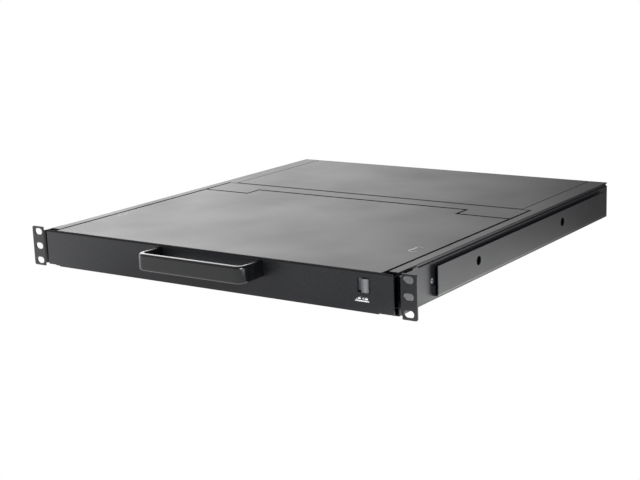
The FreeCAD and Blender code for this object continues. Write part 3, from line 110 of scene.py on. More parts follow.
def surface(tree, shader):
    """Send a shader to the material's output."""
    node(tree, "ShaderNodeOutputMaterial", {"Surface": (shader, 0)})


def principled(tree, colour, roughness, **more):
    """Send a principled shader to the output; two words of an input's name are joined by _."""
    inputs = {"Base Color": colour, "Roughness": roughness}
    inputs.update({name.replace("_", " "): value for name, value in more.items()})
    surface(tree, node(tree, "ShaderNodeBsdfPrincipled", inputs))


def noise(tree, place, size, detail=2.0, roughness=0.5):
    """Noise with humps of a size in millimetres."""
    made = node(tree, "ShaderNodeTexNoise", {"Vector": place, "Scale": 1 / (size * MM),
                                             "Detail": detail, "Roughness": roughness})
    return made, "Fac"


def spread(tree, value, low, high, start=0.0, stop=1.0):
    """Map what lies between start and stop to what lies between low and high."""
    made = node(tree, "ShaderNodeMapRange", {"Value": value, "From Min": start, "From Max": stop,
                                             "To Min": low, "To Max": high})
    return made, "Result"


def bumps(tree, height, strength, depth):
    """Bumps of a depth in millimetres."""
    made = node(tree, "ShaderNodeBump", {"Height": height, "Strength": strength,
                                         "Distance": depth * MM})
    return made, "Normal"


def reckon(tree, operation, first, second):
    """The outcome of a calculation with two values."""
    made = node(tree, "ShaderNodeMath", {0: first, 1: second}, operation=operation)
    return made, "Value"


def ramp(tree, factor, stops):
    """A colour ramp between hex colours or grey levels at their places."""
    made = node(tree, "ShaderNodeValToRGB", {"Fac": factor})
    elements = made.color_ramp.elements
    while len(elements) < len(stops):
        elements.new(0.5)
    for element, (place, colour) in zip(elements, stops):
        element.position = place
        element.color = linear(colour) if isinstance(colour, str) else (colour, colour, colour, 1)
    return made, "Color"


def powder_coat(name, dark, light, rough):
    """Polyester powder coat baked on sheet steel: a fine orange peel that breaks up reflections."""
    material, tree, place = start_material(name)
    # The peel's humps are about 2.2 mm across, and its finer octaves go down to the 0.3 mm grain.
    grain = noise(tree, place, 2.2, detail=3.0, roughness=0.6)
    # The film's thickness drifts slowly over the sheet.
    drift = noise(tree, place, 90)
    colour = ramp(tree, grain, [(0.35, dark), (0.7, light)])
    gloss = spread(tree, drift, rough - 0.03, rough + 0.03, 0.3, 0.7)
    principled(tree, colour, gloss, IOR=1.5, Normal=bumps(tree, grain, 0.35, 0.1))
    return material


def moulded(name, dark, light, rough, grain_mm=1.2):
    """Injection-moulded plastic: an even colour with the fine spark-eroded grain of its mould."""
    material, tree, place = start_material(name)
    grain = noise(tree, place, grain_mm, roughness=0.55)
    colour = ramp(tree, grain, [(0.3, dark), (0.75, light)])
    gloss = spread(tree, grain, rough * 0.93, rough * 1.07, 0.3, 0.7)
    principled(tree, colour, gloss, IOR=1.46, Normal=bumps(tree, grain, 0.1, 0.05))
    return material


def gloss_moulding(name, dark, light):
    """Polished moulded nylon: nearly mirror-smooth, with the faint flow ripple of a long part."""
    material, tree, place = start_material(name)
    flow = noise(tree, place, 14, detail=1.5, roughness=0.4)
    specks = noise(tree, place, 1.1)
    colour = ramp(tree, specks, [(0.35, dark), (0.8, light)])
    gloss = spread(tree, specks, 0.14, 0.2, 0.3, 0.7)
    principled(tree, colour, gloss, IOR=1.53, Coat_Weight=0.35, Coat_Roughness=0.08,
               Normal=bumps(tree, flow, 0.12, 0.4))
    return material


def rolled_metal(name, dark, light, rough, run=(1.0, 0.02, 1.0), metal=1.0):
    """Plated steel, streaked along the direction that run shortens; an even run leaves none."""
    material, tree, place = start_material(name)
    stretch = node(tree, "ShaderNodeMapping", {"Vector": place, "Scale": run})
    lines = noise(tree, (stretch, "Vector"), 0.8, detail=3.0, roughness=0.6)
    bloom = noise(tree, place, 7)
    mixed = reckon(tree, "MULTIPLY", reckon(tree, "ADD", lines, bloom), 0.5)
    colour = ramp(tree, mixed, [(0.35, dark), (0.65, light)])
    gloss = spread(tree, mixed, rough * 0.85, rough * 1.2, 0.35, 0.65)
    principled(tree, colour, gloss, Metallic=metal, Normal=bumps(tree, lines, 0.08, 0.03))
    return material


def spangled_metal(name):
    """Hot-dip galvanised sheet: crystals of zinc about 6 mm across, each with its own sheen."""
    material, tree, place = start_material(name)
    cells = node(tree, "ShaderNodeTexVoronoi", {"Vector": place, "Scale": 1 / (6 * MM)})
    spangle = cells, "Color"
    colour = ramp(tree, spangle, [(0.1, "7d8184"), (0.9, "a9adb0")])
    principled(tree, colour, spread(tree, spangle, 0.32, 0.48), Metallic=1.0)
    return material


def circuit_laminate(name):
    """Glass-epoxy laminate under green solder resist: tracks show as raised, lighter lines."""
    material, tree, place = start_material(name)
    tracks = node(tree, "ShaderNodeTexBrick", {
        "Vector": place, "Color1": linear("123a1f"), "Color2": linear("164526"),
        "Mortar": linear("1e5c33"), "Scale": 1 / (9 * MM), "Mortar Size": 0.03,
        "Brick Width": 0.9, "Row Height": 0.35})
    principled(tree, (tracks, "Color"), 0.3, IOR=1.5,
               Normal=bumps(tree, (tracks, "Fac"), 0.2, 0.05))
    return material


def display_glass(name):
    """Anti-glare glass over an unlit liquid-crystal panel: black, with a fine etched haze."""
    material, tree, place = start_material(name)
    haze = noise(tree, place, 0.8)
    colour = ramp(tree, haze, [(0.3, "07080b"), (0.8, "0c0e12")])
    principled(tree, colour, spread(tree, haze, 0.16, 0.26), IOR=1.52)
    return material


def printed_ink(name, colour):
    """Screen-printed ink: flat, slightly chalky and a little thin in places."""
    material, tree, place = start_material(name)
    mixed = node(tree, "ShaderNodeMix", {"Factor": noise(tree, place, 0.7), "A": linear(colour),
                                         "B": linear("b9bbbd")}, data_type="RGBA")
    principled(tree, (mixed, "Result"), 0.55, IOR=1.45)
    return material


# ---------------------------------------------------------------- pieces


def paint(material, *names):
    """Give CAD nodes a material in place of the plain one they came with."""
    for name in names:
        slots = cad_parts[name].data.materials
        slots.clear()
        slots.append(material)


def both(*names):
    """The left and right nodes of each name."""
    return [f"{name}_{side}" for name in names for side in ("left", "right")]


def add_piece(name, shape, material, body, smooth=False):
    """Turn a bmesh into a piece that rides on a body; with None, it rides on none."""
    mesh = bpy.data.meshes.new(name)
    bmesh.ops.recalc_face_normals(shape, faces=shape.faces)
    shape.to_mesh(mesh)
    shape.free()
    piece = bpy.data.objects.new(name, mesh)
    bpy.context.scene.collection.objects.link(piece)
    mesh.materials.append(material)
    for polygon in mesh.polygons:
        polygon.use_smooth = smooth
    if body:
        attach(piece, body)
    return piece


def add_block(shape, low, high, soften=0.0):
    """Add a block between two corners to a bmesh, with softened edges where asked."""
    middle = (Vector(low) + Vector(high)) / 2
    size = Vector(high) - Vector(low)
    matrix = Matrix.Translation(middle) @ Matrix.Diagonal((*size, 1))
    made = bmesh.ops.create_cube(shape, size=1, matrix=matrix)
    if soften:
        edges = {edge for vertex in made["verts"] for edge in vertex.link_edges}
        bmesh.ops.bevel(shape, geom=list(edges), offset=soften, segments=2, profile=0.5,
                        affect="EDGES", material=-1)


def add_strip(shape, points, width, height, matrix):
    """Add a flat printed line through points, of a width and a thickness, placed by a matrix."""
    overlap = width * 0.6
    for (ax, ay), (bx, by) in zip(points, points[1:]):
        length = math.hypot(bx - ax, by - ay) + overlap
        turn = Matrix.Rotation(math.atan2(by - ay, bx - ax), 4, "Z")
        middle = Matrix.Translation(((ax + bx) / 2, (ay + by) / 2, height / 2))
        size = Matrix.Diagonal((length, width, height, 1))
        bmesh.ops.create_cube(shape, size=1, matrix=matrix @ middle @ turn @ size)


def arc(x, y, radius, start, stop, steps=8):
    """Points along an arc, angles in degrees."""
    return [(x + radius * math.cos(math.radians(start + (stop - start) * step / steps)),
             y + radius * math.sin(math.radians(start + (stop - start) * step / steps)))
            for step in range(steps + 1)]


def panel_matrix(x, z):
    """Places artwork on the front panel: its own X to the right and its own Y upwards."""
    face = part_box("front_panel")[0][1]
    return Matrix.Translation((x, face, z)) @ Matrix.Rotation(math.pi / 2, 4, "X")


def settings():
    """The add-on's values."""
    return bpy.context.scene.console_drawer


class ConsoleDrawerSettings(bpy.types.PropertyGroup):
    """Sizes and colours of the finished drawer."""

    coat_dark: bpy.props.StringProperty(
        name="Coat, low spots", description="Hex colour of the powder coat in its pits",
        default="121316")
    coat_light: bpy.props.StringProperty(
        name="Coat, high spots", description="Hex colour of the powder coat on its grain",
        default="1e1f23")
    coat_roughness: bpy.props.FloatProperty(
        name="Coat roughness", description="Roughness of the satin powder coat", default=0.36,
        min=0.05, max=1.0, subtype="FACTOR")
    legend_height: bpy.props.FloatProperty(
        name="Legend height", description="Height of the letters on the keys", default=3.4 * MM,
        unit="LENGTH")
    ink_thickness: bpy.props.FloatProperty(
        name="Ink thickness", description="Thickness of printed marks", default=0.06 * MM,
        unit="LENGTH")
    left_power: bpy.props.FloatProperty(
        name="Left lamp", description="Strength of the soft lamp in front on the left",
        default=22.0, unit="POWER")
    right_power: bpy.props.FloatProperty(
        name="Right lamp", description="Strength of the soft lamp in front on the right",
        default=14.0, unit="POWER")
    camera_place: bpy.props.FloatVectorProperty(
        name="Camera", description="Where the camera stands",
        default=(0.82769, -0.99456, 0.32007), subtype="TRANSLATION", unit="LENGTH")
    camera_aim: bpy.props.FloatVectorProperty(
        name="Camera aim", description="Yaw, pitch and roll of the camera", subtype="EULER",
        default=(math.radians(-34.726), math.radians(-12.882), math.radians(-2.066)))
    camera_lens: bpy.props.FloatProperty(
        name="Lens", description="Focal length in millimetres on a 36 mm sensor", default=75.39)


class CONSOLE_OT_sheet_metal(bpy.types.Operator):
    """Powder-coat the chassis, the tray, the panel, the ears and the lid"""

    bl_idname = "console.sheet_metal"
    bl_label = "Sheet metal"

    def execute(self, context):
        values = settings()
        coat = powder_coat("satin_black_powder_coat", values.coat_dark, values.coat_light,
                           values.coat_roughness)
        inner = powder_coat("black_coat_inside", "141517", "1f2023", 0.5)
        paint(coat, "rear_cover", "front_panel", "hinge_bar", "lid_shell",
              *both("side_wall", "cover_ledge", "ear_bracket", "outer_rail"))
        paint(inner, "chassis_pan", "rear_panel", "drawer_tray")
        self.gap_shadow_strip()
        return {"FINISHED"}

    def gap_shadow_strip(self):
        """A black strip of painted shadow that fills the gap between the front panel and the lid.
        """
        low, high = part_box("front_panel")
        lid_low, lid_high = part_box("lid_shell")
        end, lap, gap = 0.5 * MM, 0.6 * MM, 0.15 * MM
        shape = bmesh.new()
        add_block(shape, (low[0] + end, low[1] + 0.05 * MM, high[2] - lap),
                  (high[0] - end, lid_low[1] - gap, lid_high[2] - gap), 0.1 * MM)
        # Its black is painted shadow for the shaded gap under the lid's front edge.
        add_piece("lid_gap_shadow", shape, moulded("gap_shadow_black", "060607", "0c0c0d", 0.8),
                  "drawer")


class CONSOLE_OT_handle(bpy.types.Operator):
    """Make the moulded pull handle with its rounded rims"""

    bl_idname = "console.handle"
    bl_label = "Handle"

    def execute(self, context):
        low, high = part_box("pull_handle")
        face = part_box("front_panel")[0][1]
        bar, arm, corner, edge = 7.5 * MM, 6.5 * MM, 10 * MM, 2.6 * MM
        outer = self.bow(low[0], high[0], low[1], face, corner)
        inner = self.bow(low[0] + arm, high[0] - arm, low[1] + bar, face, corner - arm)
        shape = bmesh.new()
        outline = [shape.verts.new((x, y, low[2])) for x, y in outer + inner[::-1]]
        base = shape.faces.new(outline)
        top = bmesh.ops.extrude_face_region(shape, geom=[base])["geom"]
        bmesh.ops.translate(shape, vec=(0, 0, high[2] - low[2]),
                            verts=[item for item in top if isinstance(item, bmesh.types.BMVert)])
        rims = [line for line in shape.edges
                if abs(line.verts[0].co.z - line.verts[1].co.z) < MM / 100
                and min(line.verts[0].co.y, line.verts[1].co.y) < face - MM / 10]
        bmesh.ops.bevel(shape, geom=rims, offset=edge, segments=5, profile=0.5, affect="EDGES",
                        material=-1)
        nylon = gloss_moulding("polished_black_nylon", "08090b", "101114")
        piece = add_piece("moulded_handle", shape, nylon, "drawer",
                          smooth=True)
        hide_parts("pull_handle")
        return {"FINISHED"}

    def bow(self, left, right, front, back, radius):
        """The line of a bow-shaped handle in plan, from its left foot round to its right foot."""
        return [(left, back), *arc(left + radius, front + radius, radius, 180, 270, 12),
                *arc(right - radius, front + radius, radius, 270, 360, 12), (right, back)]


# The finger nub of the lock: its sides, its foot and its top.
NUB_LEFT, NUB_RIGHT = 184.9 * MM, 191.3 * MM
NUB_LOW, NUB_HIGH = -0.4 * MM, 12.6 * MM


class CONSOLE_OT_lock(bpy.types.Operator):
    """Finish the sliding lock and print its padlocks and arrow"""

    bl_idname = "console.lock"
    bl_label = "Lock"

    def execute(self, context):
        # The slider is black as painted shadow: its edges in the window and the nub's top show as
        # the shade there.
        paint(moulded("lock_shadow_black", "08080a", "101012", 0.6), "lock_slider")
        self.coil(rolled_metal("drawn_spring_wire", "8a8c8e", "b4b6b8", 0.3, run=EVEN))
        self.nub()
        self.marks()
        return {"FINISHED"}

    def nub(self):
        """Face the nub with grey skins: its flutes, its bevel in painted shade, and beside it its
        left edge and the plate in darker painted shade.
        """
        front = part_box("lock_slider")[0][1]
        # The skins start a little inside the nub; those on its sides run back along it.
        root, back, skin = front + 0.1 * MM, front + 1.8 * MM, 0.04 * MM
        flutes = bmesh.new()
        flute_start, flute_pitch, flute_width = 2.7 * MM, 1.22 * MM, 1.08 * MM
        for step in range(3):
            start = NUB_LEFT + flute_start + flute_pitch * step
            add_block(flutes, (start, front - 0.28 * MM, NUB_LOW),
                      (start + flute_width, root, NUB_HIGH), 0.12 * MM)
        add_block(flutes, (NUB_RIGHT, root, NUB_LOW), (NUB_RIGHT + skin, back, NUB_HIGH))
        add_piece("lock_nub", flutes, moulded("satin_grey_abs", "757779", "848689", 0.45, 0.9),
                  "lock")
        # The bevel strip is a darker grey: painted shade on the nub's left bevel, which faces away
        # from the light.
        bevel = bmesh.new()
        add_block(bevel, (NUB_LEFT + 0.9 * MM, front - 0.2 * MM, NUB_LOW),
                  (NUB_LEFT + 2.6 * MM, root, NUB_HIGH), 0.08 * MM)
        add_piece("lock_nub_bevel", bevel, moulded("bevel_painted_shade_abs", "5c5e61", "686a6d", 0.5, 0.9),
                  "lock")
        # The nub's left side, a strip of its front and the plate in the window take a darker grey
        # still: painted shade.
        face = bmesh.new()
        add_block(face, (NUB_LEFT - skin, root, NUB_LOW), (NUB_LEFT, back, NUB_HIGH))
        add_block(face, (NUB_LEFT, front - 0.08 * MM, NUB_LOW),
                  (NUB_LEFT + 0.85 * MM, root, NUB_HIGH))
        add_block(face, (NUB_LEFT - 5.3 * MM, -0.2 * MM, NUB_LOW + 1.2 * MM),
                  (NUB_LEFT - 0.1 * MM, -0.09 * MM, 13.3 * MM))
        add_piece("lock_face", face, moulded("shaded_grey_abs", "505256", "5e6064", 0.5, 0.9),
                  "lock")

    def marks(self):
        """Print an open and a shut padlock with an arrowhead between them, over a long arrow."""
        ink = settings().ink_thickness
        middle = (NUB_LEFT + NUB_RIGHT) / 2 - 3 * MM
        open_shackle = arc(0.5 * MM, 1.0 * MM, 0.85 * MM, 180, 0)[:7]
        shut_shackle = arc(0, 0.8 * MM, 0.85 * MM, 180, 0)
        shape = bmesh.new()
        for shift, shackle in ((-4.0 * MM, open_shackle), (3.6 * MM, shut_shackle)):
            lie = panel_matrix(middle + shift, -6.9 * MM)
            add_strip(shape, [(-1.2 * MM, 0), (1.2 * MM, 0)], 1.5 * MM, ink, lie)
            add_strip(shape, shackle, 0.4 * MM, ink, lie)
        head = [(1.3 * MM, 0.9 * MM), (-0.8 * MM, 0), (1.3 * MM, -0.9 * MM)]
        add_strip(shape, head, 0.5 * MM, ink, panel_matrix(middle, -6.6 * MM))
        lie = panel_matrix(183.9 * MM, -9.0 * MM)
        add_strip(shape, [(-7.3 * MM, 0), (7.3 * MM, 0)], 1.15 * MM, ink, lie)
        add_strip(shape, [(-7.2 * MM, 0.1 * MM), (-5.6 * MM, 1.3 * MM)], 0.8 * MM, ink, lie)
        add_strip(shape, [(-6.6 * MM, 0.2 * MM), (-5.2 * MM, 0.9 * MM)], 0.9 * MM, ink, lie)
        add_piece("lock_marks", shape, printed_ink("white_pad_print", "f4f5f6"), "drawer")

    def coil(self, material):
        """The lock's spring, built at one length; the real one shortens as the lock slides towards
        its fixed end.
        """
        low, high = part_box("lock_spring")
        wire, turns, steps, sides = 0.3 * MM, 2, 48, 8
        across, level = (low[1] + high[1]) / 2, (low[2] + high[2]) / 2
        reach = (high[2] - low[2]) / 2 - wire
        start, end = low[0] + wire, high[0] - wire
        shape = bmesh.new()
        rings = []
        for step in range(steps + 1):
            angle = 2 * math.pi * turns * step / steps
            out = Vector((0, math.cos(angle), math.sin(angle)))
            middle = Vector((start + (end - start) * step / steps, across, level)) + out * reach
            ring = []
            for side in range(sides):
                turn = 2 * math.pi * side / sides
                along = Vector((wire * math.sin(turn), 0, 0))
                ring.append(shape.verts.new(middle + out * wire * math.cos(turn) + along))
            rings.append(ring)
        for one, two in zip(rings, rings[1:]):
            for side in range(sides):
                other = (side + 1) % sides
                shape.faces.new((one[side], one[other], two[other], two[side]))
        shape.faces.new(rings[0])
        shape.faces.new(rings[-1][::-1])
        spring = add_piece("lock_coil", shape, material, None, smooth=True)
        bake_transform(spring)
        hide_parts("lock_spring")


class CONSOLE_OT_slides(bpy.types.Operator):
    """Finish the ball slides, the hinges and the strike"""

    bl_idname = "console.slides"
    bl_label = "Slides and hinges"

    def execute(self, context):
        paint(rolled_metal("black_zinc_plate", "1b1c1e", "2b2c2f", 0.34), "latch_strike",
              *both("slide_outer", "slide_middle", "slide_inner"))
        paint(rolled_metal("polished_bearing_steel", "9c9fa3", "c8cbcf", 0.16),
              *both("cage_outer", "cage_inner"))
        paint(rolled_metal("black_oxide_steel", "26272a", "36383b", 0.38, run=EVEN),
              *both("hinge_block"))
        paint(rolled_metal("turned_steel", "7d8083", "a5a8ab", 0.24, run=(0.02, 1.0, 1.0)),
              *both("hinge_arm"))
        return {"FINISHED"}


# Millimetres behind the ears at which a screw holds each slide to its wall.
SCREW_PLACES = (67.5, 152.0, 350.0)


class CONSOLE_OT_screws(bpy.types.Operator):
    """Make the cross-recessed countersunk screws of the walls"""

    bl_idname = "console.screws"
    bl_label = "Screws"

    def execute(self, context):
        black = rolled_metal("black_zinc_screw", "3a3c40", "5a5d62", 0.3, run=EVEN)
        paint(black, "wall_screws", "handle_screws")
        # The heads are pale and mostly matt: partly the zinc's own tone, partly a painted highlight
        # for the glint a domed head catches.
        bright = rolled_metal("white_zinc_screw_and_glint", "c2c4c6", "dcddde", 0.4, run=EVEN, metal=0.2)
        low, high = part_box("wall_screws")
        level = (low[2] + high[2]) / 2
        shape = bmesh.new()
        for side in (-1, 1):
            for place in SCREW_PLACES:
                # Its own number of radians turns each head to a stop of its own.
                turn = Matrix.Rotation(side * math.pi / 2, 4, "Y") @ Matrix.Rotation(place, 4, "Z")
                self.add_head(shape, Matrix.Translation((side * high[0], place * MM, level)) @ turn)
        add_piece("screw_heads", shape, bright, "chassis")
        return {"FINISHED"}

    def add_head(self, shape, matrix):
        """Add a thin raised head with a cross-shaped recess, facing along the matrix's own Z."""
        radius, arm, reach = 2.1 * MM, 0.95 * MM, 1.45 * MM
        sunk = -0.1 * MM
        rim = arc(0, 0, radius, 7.5, 352.5, 23)
        cross = []
        for quarter in range(4):
            turn = Matrix.Rotation(quarter * math.pi / 2, 2)
            corner = (reach, -arm), (reach, arm), (arm, arm)
            cross += [tuple(turn @ Vector(point)) for point in corner]
        loops = []
        for points, height in ((rim, sunk), (rim, 0.06 * MM), (cross, 0.12 * MM), (cross, sunk)):
            verts = [shape.verts.new(matrix @ Vector((x, y, height))) for x, y in points]
            loops.append([shape.edges.new((verts[index - 1], verts[index]))
                          for index in range(len(verts))])
        for outer, inner in zip(loops, loops[1:] + loops[:1]):
            bmesh.ops.bridge_loops(shape, edges=outer + inner)


# Letters on the rows of keys, from the front row to the function keys, and the keys' widths.
KEY_ROWS = [
    ("keys_lower_row", [2.25] + [1] * 10 + [1.75] + [1] * 5, " ZXCVBNM,./     123"),
    ("keys_home_row", [1.75] + [1] * 11 + [2.25] + [1] * 4, " ASDFGHJKL;'  456+"),
    ("keys_upper_row", [1.5] + [1] * 12 + [1.5] + [1] * 4, " QWERTYUIOP[]  789-"),
    ("keys_number_row", [1] * 13 + [2] + [1] * 4, "`1234567890-=   /*."),
]
KEY_PITCH = 19.05 * MM
KEY_GAP = 0.9 * MM


class CONSOLE_OT_keyboard(bpy.types.Operator):
    """Finish the keyboard deck and its keys, and print the letters"""

    bl_idname = "console.keyboard"
    bl_label = "Keyboard"

    def execute(self, context):
        paint(moulded("matt_black_abs", "161719", "202124", 0.55), "keyboard_deck")
        paint(spangled_metal("galvanised_sheet"), "key_plate")
        rows = [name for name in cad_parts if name.startswith("key") and name.endswith("_row")]
        paint(moulded("textured_keycap_abs", "141517", "1d1e21", 0.5, grain_mm=0.8),
              "key_space_bar", *rows)
        ink = printed_ink("white_key_print", "dfe0e2")
        for name, widths, letters in KEY_ROWS:
            low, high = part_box(name)
            left = low[0] - KEY_GAP / 2
            middle = (low[1] + high[1]) / 2
            shape = bmesh.new()
            for width, letter in zip(widths, letters):
                if letter != " ":
                    # A letter stands in the cap's upper left quarter.
                    across = left + width * KEY_PITCH / 2 - 3.4 * MM
                    self.add_letter(shape, letter, (across, middle + 1.2 * MM, high[2]))
                left += width * KEY_PITCH
            add_piece(name.replace("keys", "legends"), shape, ink, name)
        return {"FINISHED"}

    def add_letter(self, shape, letter, place):
        """Add one printed letter, taken from a text curve, to a bmesh."""
        values = settings()
        curve = bpy.data.curves.new("letter", "FONT")
        curve.body = letter
        # A capital letter takes up about three quarters of its font size.
        curve.size = values.legend_height * 1.35
        curve.extrude = values.ink_thickness / 2
        curve.resolution_u = 3
        text = bpy.data.objects.new("letter", curve)
        mesh = bpy.data.meshes.new_from_object(text)
        mesh.transform(Matrix.Translation(Vector(place) + Vector((0, 0, values.ink_thickness / 2))))
        shape.from_mesh(mesh)
        bpy.data.objects.remove(text)
        bpy.data.curves.remove(curve)
        bpy.data.meshes.remove(mesh)


class CONSOLE_OT_touchpad(bpy.types.Operator):
    """Finish the touchpad and its buttons"""

    bl_idname = "console.touchpad"
    bl_label = "Touchpad"

    def execute(self, context):
        paint(moulded("fine_grain_touch_film", "1c1d20", "25272a", 0.4, grain_mm=0.7), "touchpad",
              *both("touch_button"))
        return {"FINISHED"}


class CONSOLE_OT_screen(bpy.types.Operator):
    """Finish the screen, its bezel, its menu keys and its rubber pads"""

    bl_idname = "console.screen"
    bl_label = "Screen"

    def execute(self, context):
        paint(moulded("textured_bezel_abs", "151618", "1d1e20", 0.5), "screen_bezel")
        paint(display_glass("etched_display_glass"), "screen_panel")
        paint(moulded("dark_grey_pc", "2b2c2f", "37393c", 0.4), "screen_keypad")
        paint(moulded("soft_black_rubber", "0e0e0f", "161617", 0.75), "screen_bumpers")
        return {"FINISHED"}


class CONSOLE_OT_sockets(bpy.types.Operator):
    """Finish the rear sockets and the power switch, and mark the switch"""

    bl_idname = "console.sockets"
    bl_label = "Sockets"

    def execute(self, context):
        paint(moulded("black_nylon_housing", "101112", "18191b", 0.45), "power_inlet",
              "switch_housing")
        paint(moulded("gloss_black_pc", "0b0c0d", "121314", 0.22), "switch_rocker")
        paint(rolled_metal("nickel_plate", "9a9789", "c3bfb2", 0.25, run=EVEN), "video_socket",
              "usb_socket")
        self.marks()
        return {"FINISHED"}

    def marks(self):
        """Stamp the bar for on and the ring for off on the two halves of the rocker."""
        low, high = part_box("switch_rocker")
        half = (high[2] - low[2]) / 2
        ridge = Vector(((low[0] + high[0]) / 2, high[1] - 1.5 * MM, (low[2] + high[2]) / 2))
        ink = settings().ink_thickness
        shape = bmesh.new()
        upper = self.rocker_face(ridge, high[1] - ridge.y, half)
        add_strip(shape, [(0, -1.3 * MM), (0, 1.3 * MM)], 0.5 * MM, ink, upper)
        lower = self.rocker_face(ridge, -0.5 * MM, -half)
        add_strip(shape, arc(0, 0, 1.3 * MM, 0, 360, 16), 0.45 * MM, ink, lower)
        add_piece("switch_marks", shape, printed_ink("white_hot_stamp", "e8e9ea"), "power_switch")

    def rocker_face(self, ridge, lean, rise):
        """Places artwork in the middle of a half, which leans out by lean over its rise."""
        up = Vector((0, lean, rise)).normalized() * (1 if rise > 0 else -1)
        left = Vector((-1, 0, 0))
        face = Matrix((left, up, left.cross(up))).transposed().to_4x4()
        return Matrix.Translation(ridge + Vector((0, lean / 2, rise / 2))) @ face


class CONSOLE_OT_electronics(bpy.types.Operator):
    """Finish the power supply and the control board inside the chassis"""

    bl_idname = "console.electronics"
    bl_label = "Electronics"

    def execute(self, context):
        paint(spangled_metal("galvanised_case"), "power_supply")
        paint(circuit_laminate("solder_resist"), "control_board")
        return {"FINISHED"}


class CONSOLE_OT_lid_marks(bpy.types.Operator):
    """Print the small plain marks on the lid"""

    bl_idname = "console.lid_marks"
    bl_label = "Lid marks"

    def execute(self, context):
        ink = settings().ink_thickness
        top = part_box("lid_shell")[1][2]
        shape = bmesh.new()
        lie = Matrix.Translation((0, 0, top))
        add_strip(shape, [(182.5 * MM, 85 * MM), (183.5 * MM, 99 * MM)], 1.6 * MM, ink, lie)
        add_strip(shape, arc(183.5 * MM, 92 * MM, 11 * MM, 55, 100), 0.5 * MM, ink, lie)
        add_strip(shape, arc(184 * MM, 91 * MM, 9 * MM, -85, -35), 0.5 * MM, ink, lie)
        add_strip(shape, [(-195 * MM, 86 * MM), (-195 * MM, 101 * MM)], 2.0 * MM, ink, lie)
        add_piece("lid_marks", shape, printed_ink("pale_lid_print", "d5d6d8"), "screen")
        return {"FINISHED"}


# Brightness of the sky round the object: degrees from the rear, positive to the right, and a level.
SKY_LEVELS = [(-180, 0.4), (-120, 0.6), (-90, 1.2), (-62, 2.0), (-45, 2.7), (-30, 1.15),
              (-27.5, 0.93), (-26, 0.72), (-24, 0.4), (-22, 0.15), (-15, 0.05), (60, 0.05),
              (110, 0.5), (180, 0.4)]
# The same for the floor, as reflections see it.
FLOOR_LEVELS = [(-180, 0.75), (-158, 0.8), (-149, 0.9), (-140, 1.2), (-134, 1.55), (-115, 2.6),
                (-60, 0.8), (0, 0.05), (22, 0.06), (42, 0.36), (60, 0.88), (80, 1.55), (100, 2.0),
                (120, 2.5), (138, 0.9), (146, 0.55), (154, 0.7), (166, 0.75), (180, 0.75)]
# A colour ramp holds levels up to 1, so they are kept as shares of this one.
TOP_LEVEL = 3.2
WHITE = (1, 1, 1, 1)


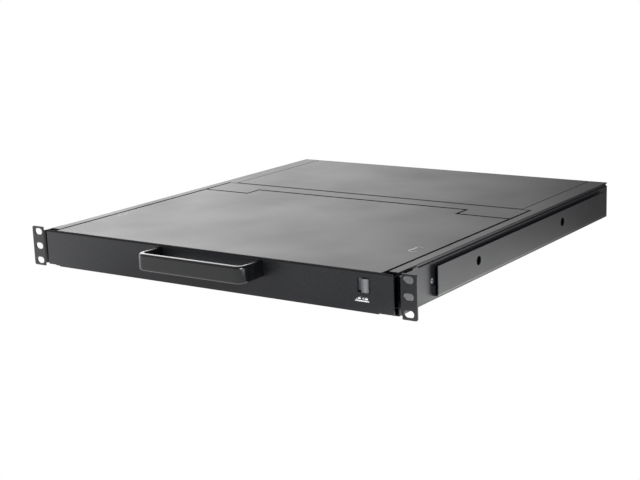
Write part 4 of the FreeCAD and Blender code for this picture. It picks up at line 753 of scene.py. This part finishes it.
class CONSOLE_OT_stage(bpy.types.Operator):
    """Set up the floor, the lamps, the world and the camera"""

    bl_idname = "console.stage"
    bl_label = "Stage"

    def execute(self, context):
        scene = context.scene
        values = settings()
        scene.view_settings.view_transform = "Standard"
        self.world(scene)
        self.floor()
        self.lamp("left_softbox", (-1.2, -1.2, 0.8), 0.8, values.left_power, mirrored=False)
        self.lamp("right_softbox", (1.1, -0.5, 0.5), 0.5, values.right_power, mirrored=True)
        self.camera(scene, values)
        return {"FINISHED"}

    def camera(self, scene, values):
        """Set up the camera where the values say."""
        yaw, pitch, roll = values.camera_aim
        forward = Vector((math.sin(yaw) * math.cos(pitch), math.cos(yaw) * math.cos(pitch),
                          math.sin(pitch)))
        right = forward.cross(Vector((0, 0, 1))).normalized()
        level = Matrix((right, right.cross(forward), -forward)).transposed().to_4x4()
        camera = bpy.data.objects.new("camera", bpy.data.cameras.new("camera"))
        camera.data.lens = values.camera_lens
        camera.data.clip_start = 0.05
        camera.matrix_world = (Matrix.Translation(values.camera_place) @ level
                               @ Matrix.Rotation(roll, 4, "Z"))
        scene.collection.objects.link(camera)
        scene.camera = camera

    def surround(self, tree, split, stops):
        """Brightness by compass direction, from a direction's split parts and a table of levels."""
        bearing = reckon(tree, "ARCTAN2", (split, "X"), (split, "Y"))
        turn = spread(tree, bearing, 0.0, 1.0, -math.pi, math.pi)
        shares = ramp(tree, turn, [((angle + 180) / 360, level / TOP_LEVEL)
                                   for angle, level in stops])
        return reckon(tree, "MULTIPLY", shares, TOP_LEVEL)

    def white_to_camera(self, tree, path, level):
        """A level that is 1 to the camera and stays itself to everything else."""
        made = node(tree, "ShaderNodeMix", {"Factor": (path, "Is Camera Ray"), "A": level,
                                            "B": 1.0})
        return made, "Result"

    def world(self, scene):
        """A white sky for the eye; the object is lit by a soft bank low on the left, behind it."""
        world = bpy.data.worlds.new("studio")
        world.use_nodes = True
        scene.world = world
        tree = world.node_tree
        tree.nodes.clear()
        path = node(tree, "ShaderNodeLightPath")
        place = node(tree, "ShaderNodeTexCoord")
        split = node(tree, "ShaderNodeSeparateXYZ", {0: (place, "Generated")})
        # The sky darkens from 25 to 44 degrees above the horizon.
        fade = node(tree, "ShaderNodeMapRange", {
            "Value": (split, "Z"), "From Min": 0.42, "From Max": 0.7, "To Min": 1.0, "To Max": 0.3},
            interpolation_type="SMOOTHSTEP")
        lit = reckon(tree, "MULTIPLY", self.surround(tree, split, SKY_LEVELS), (fade, "Result"))
        level = self.white_to_camera(tree, path, lit)
        sky = node(tree, "ShaderNodeBackground", {"Color": WHITE, "Strength": level})
        node(tree, "ShaderNodeOutputWorld", {"Surface": (sky, 0)})

    def floor(self):
        """A wide floor, white to the eye; reflections see it brighter to the front and sides."""
        low = CAD_BOX[0][2]
        shape = bmesh.new()
        bmesh.ops.create_grid(shape, x_segments=2, y_segments=2, size=6)
        mesh = bpy.data.meshes.new("floor")
        shape.to_mesh(mesh)
        shape.free()
        floor = bpy.data.objects.new("floor", mesh)
        floor.location = (0, 0.2, low - 0.4 * MM)
        bpy.context.scene.collection.objects.link(floor)
        material, tree, place = start_material("pale_studio_floor")
        path = node(tree, "ShaderNodeLightPath")
        split = node(tree, "ShaderNodeSeparateXYZ", {0: place})
        level = self.white_to_camera(tree, path, self.surround(tree, split, FLOOR_LEVELS))
        glowing = reckon(tree, "MAXIMUM", (path, "Is Camera Ray"), (path, "Is Glossy Ray"))
        matt = node(tree, "ShaderNodeBsdfDiffuse", {"Color": linear("ededee")})
        glow = node(tree, "ShaderNodeEmission", {"Color": WHITE, "Strength": level})
        mixed = node(tree, "ShaderNodeMixShader", {0: glowing, 1: (matt, 0), 2: (glow, 0)})
        surface(tree, mixed)
        mesh.materials.append(material)

    def lamp(self, name, place, size, power, mirrored):
        """A soft square lamp aimed at the object; an unmirrored one leaves no streak on it."""
        data = bpy.data.lights.new(name, "AREA")
        data.shape = "SQUARE"
        data.size = size
        data.energy = power
        lamp = bpy.data.objects.new(name, data)
        lamp.visible_glossy = mirrored
        target = Vector((0.1, 0.15, 0.0))
        aim = (target - Vector(place)).to_track_quat("-Z", "Y").to_matrix().to_4x4()
        lamp.matrix_world = Matrix.Translation(place) @ aim
        bpy.context.scene.collection.objects.link(lamp)


STEPS = [
    CONSOLE_OT_sheet_metal,
    CONSOLE_OT_handle,
    CONSOLE_OT_lock,
    CONSOLE_OT_slides,
    CONSOLE_OT_screws,
    CONSOLE_OT_keyboard,
    CONSOLE_OT_touchpad,
    CONSOLE_OT_screen,
    CONSOLE_OT_sockets,
    CONSOLE_OT_electronics,
    CONSOLE_OT_lid_marks,
    CONSOLE_OT_stage,
]


class CONSOLE_PT_panel(bpy.types.Panel):
    """Lists the drawer's steps and values"""

    bl_idname = "CONSOLE_PT_panel"
    bl_label = "Console drawer"
    bl_space_type = "VIEW_3D"
    bl_region_type = "UI"
    bl_category = "Console drawer"

    def draw(self, context):
        for name in ConsoleDrawerSettings.__annotations__:
            self.layout.prop(context.scene.console_drawer, name)
        for step in STEPS:
            self.layout.operator(step.bl_idname)


CLASSES = [ConsoleDrawerSettings, *STEPS, CONSOLE_PT_panel]


def register():
    for item in CLASSES:
        bpy.utils.register_class(item)
    bpy.types.Scene.console_drawer = bpy.props.PointerProperty(type=ConsoleDrawerSettings)


def unregister():
    del bpy.types.Scene.console_drawer
    for item in reversed(CLASSES):
        bpy.utils.unregister_class(item)


def main():
    register()
    for step in STEPS:
        group, name = step.bl_idname.split(".")
        getattr(getattr(bpy.ops, group), name)()


if __name__ == "__main__":
    main()
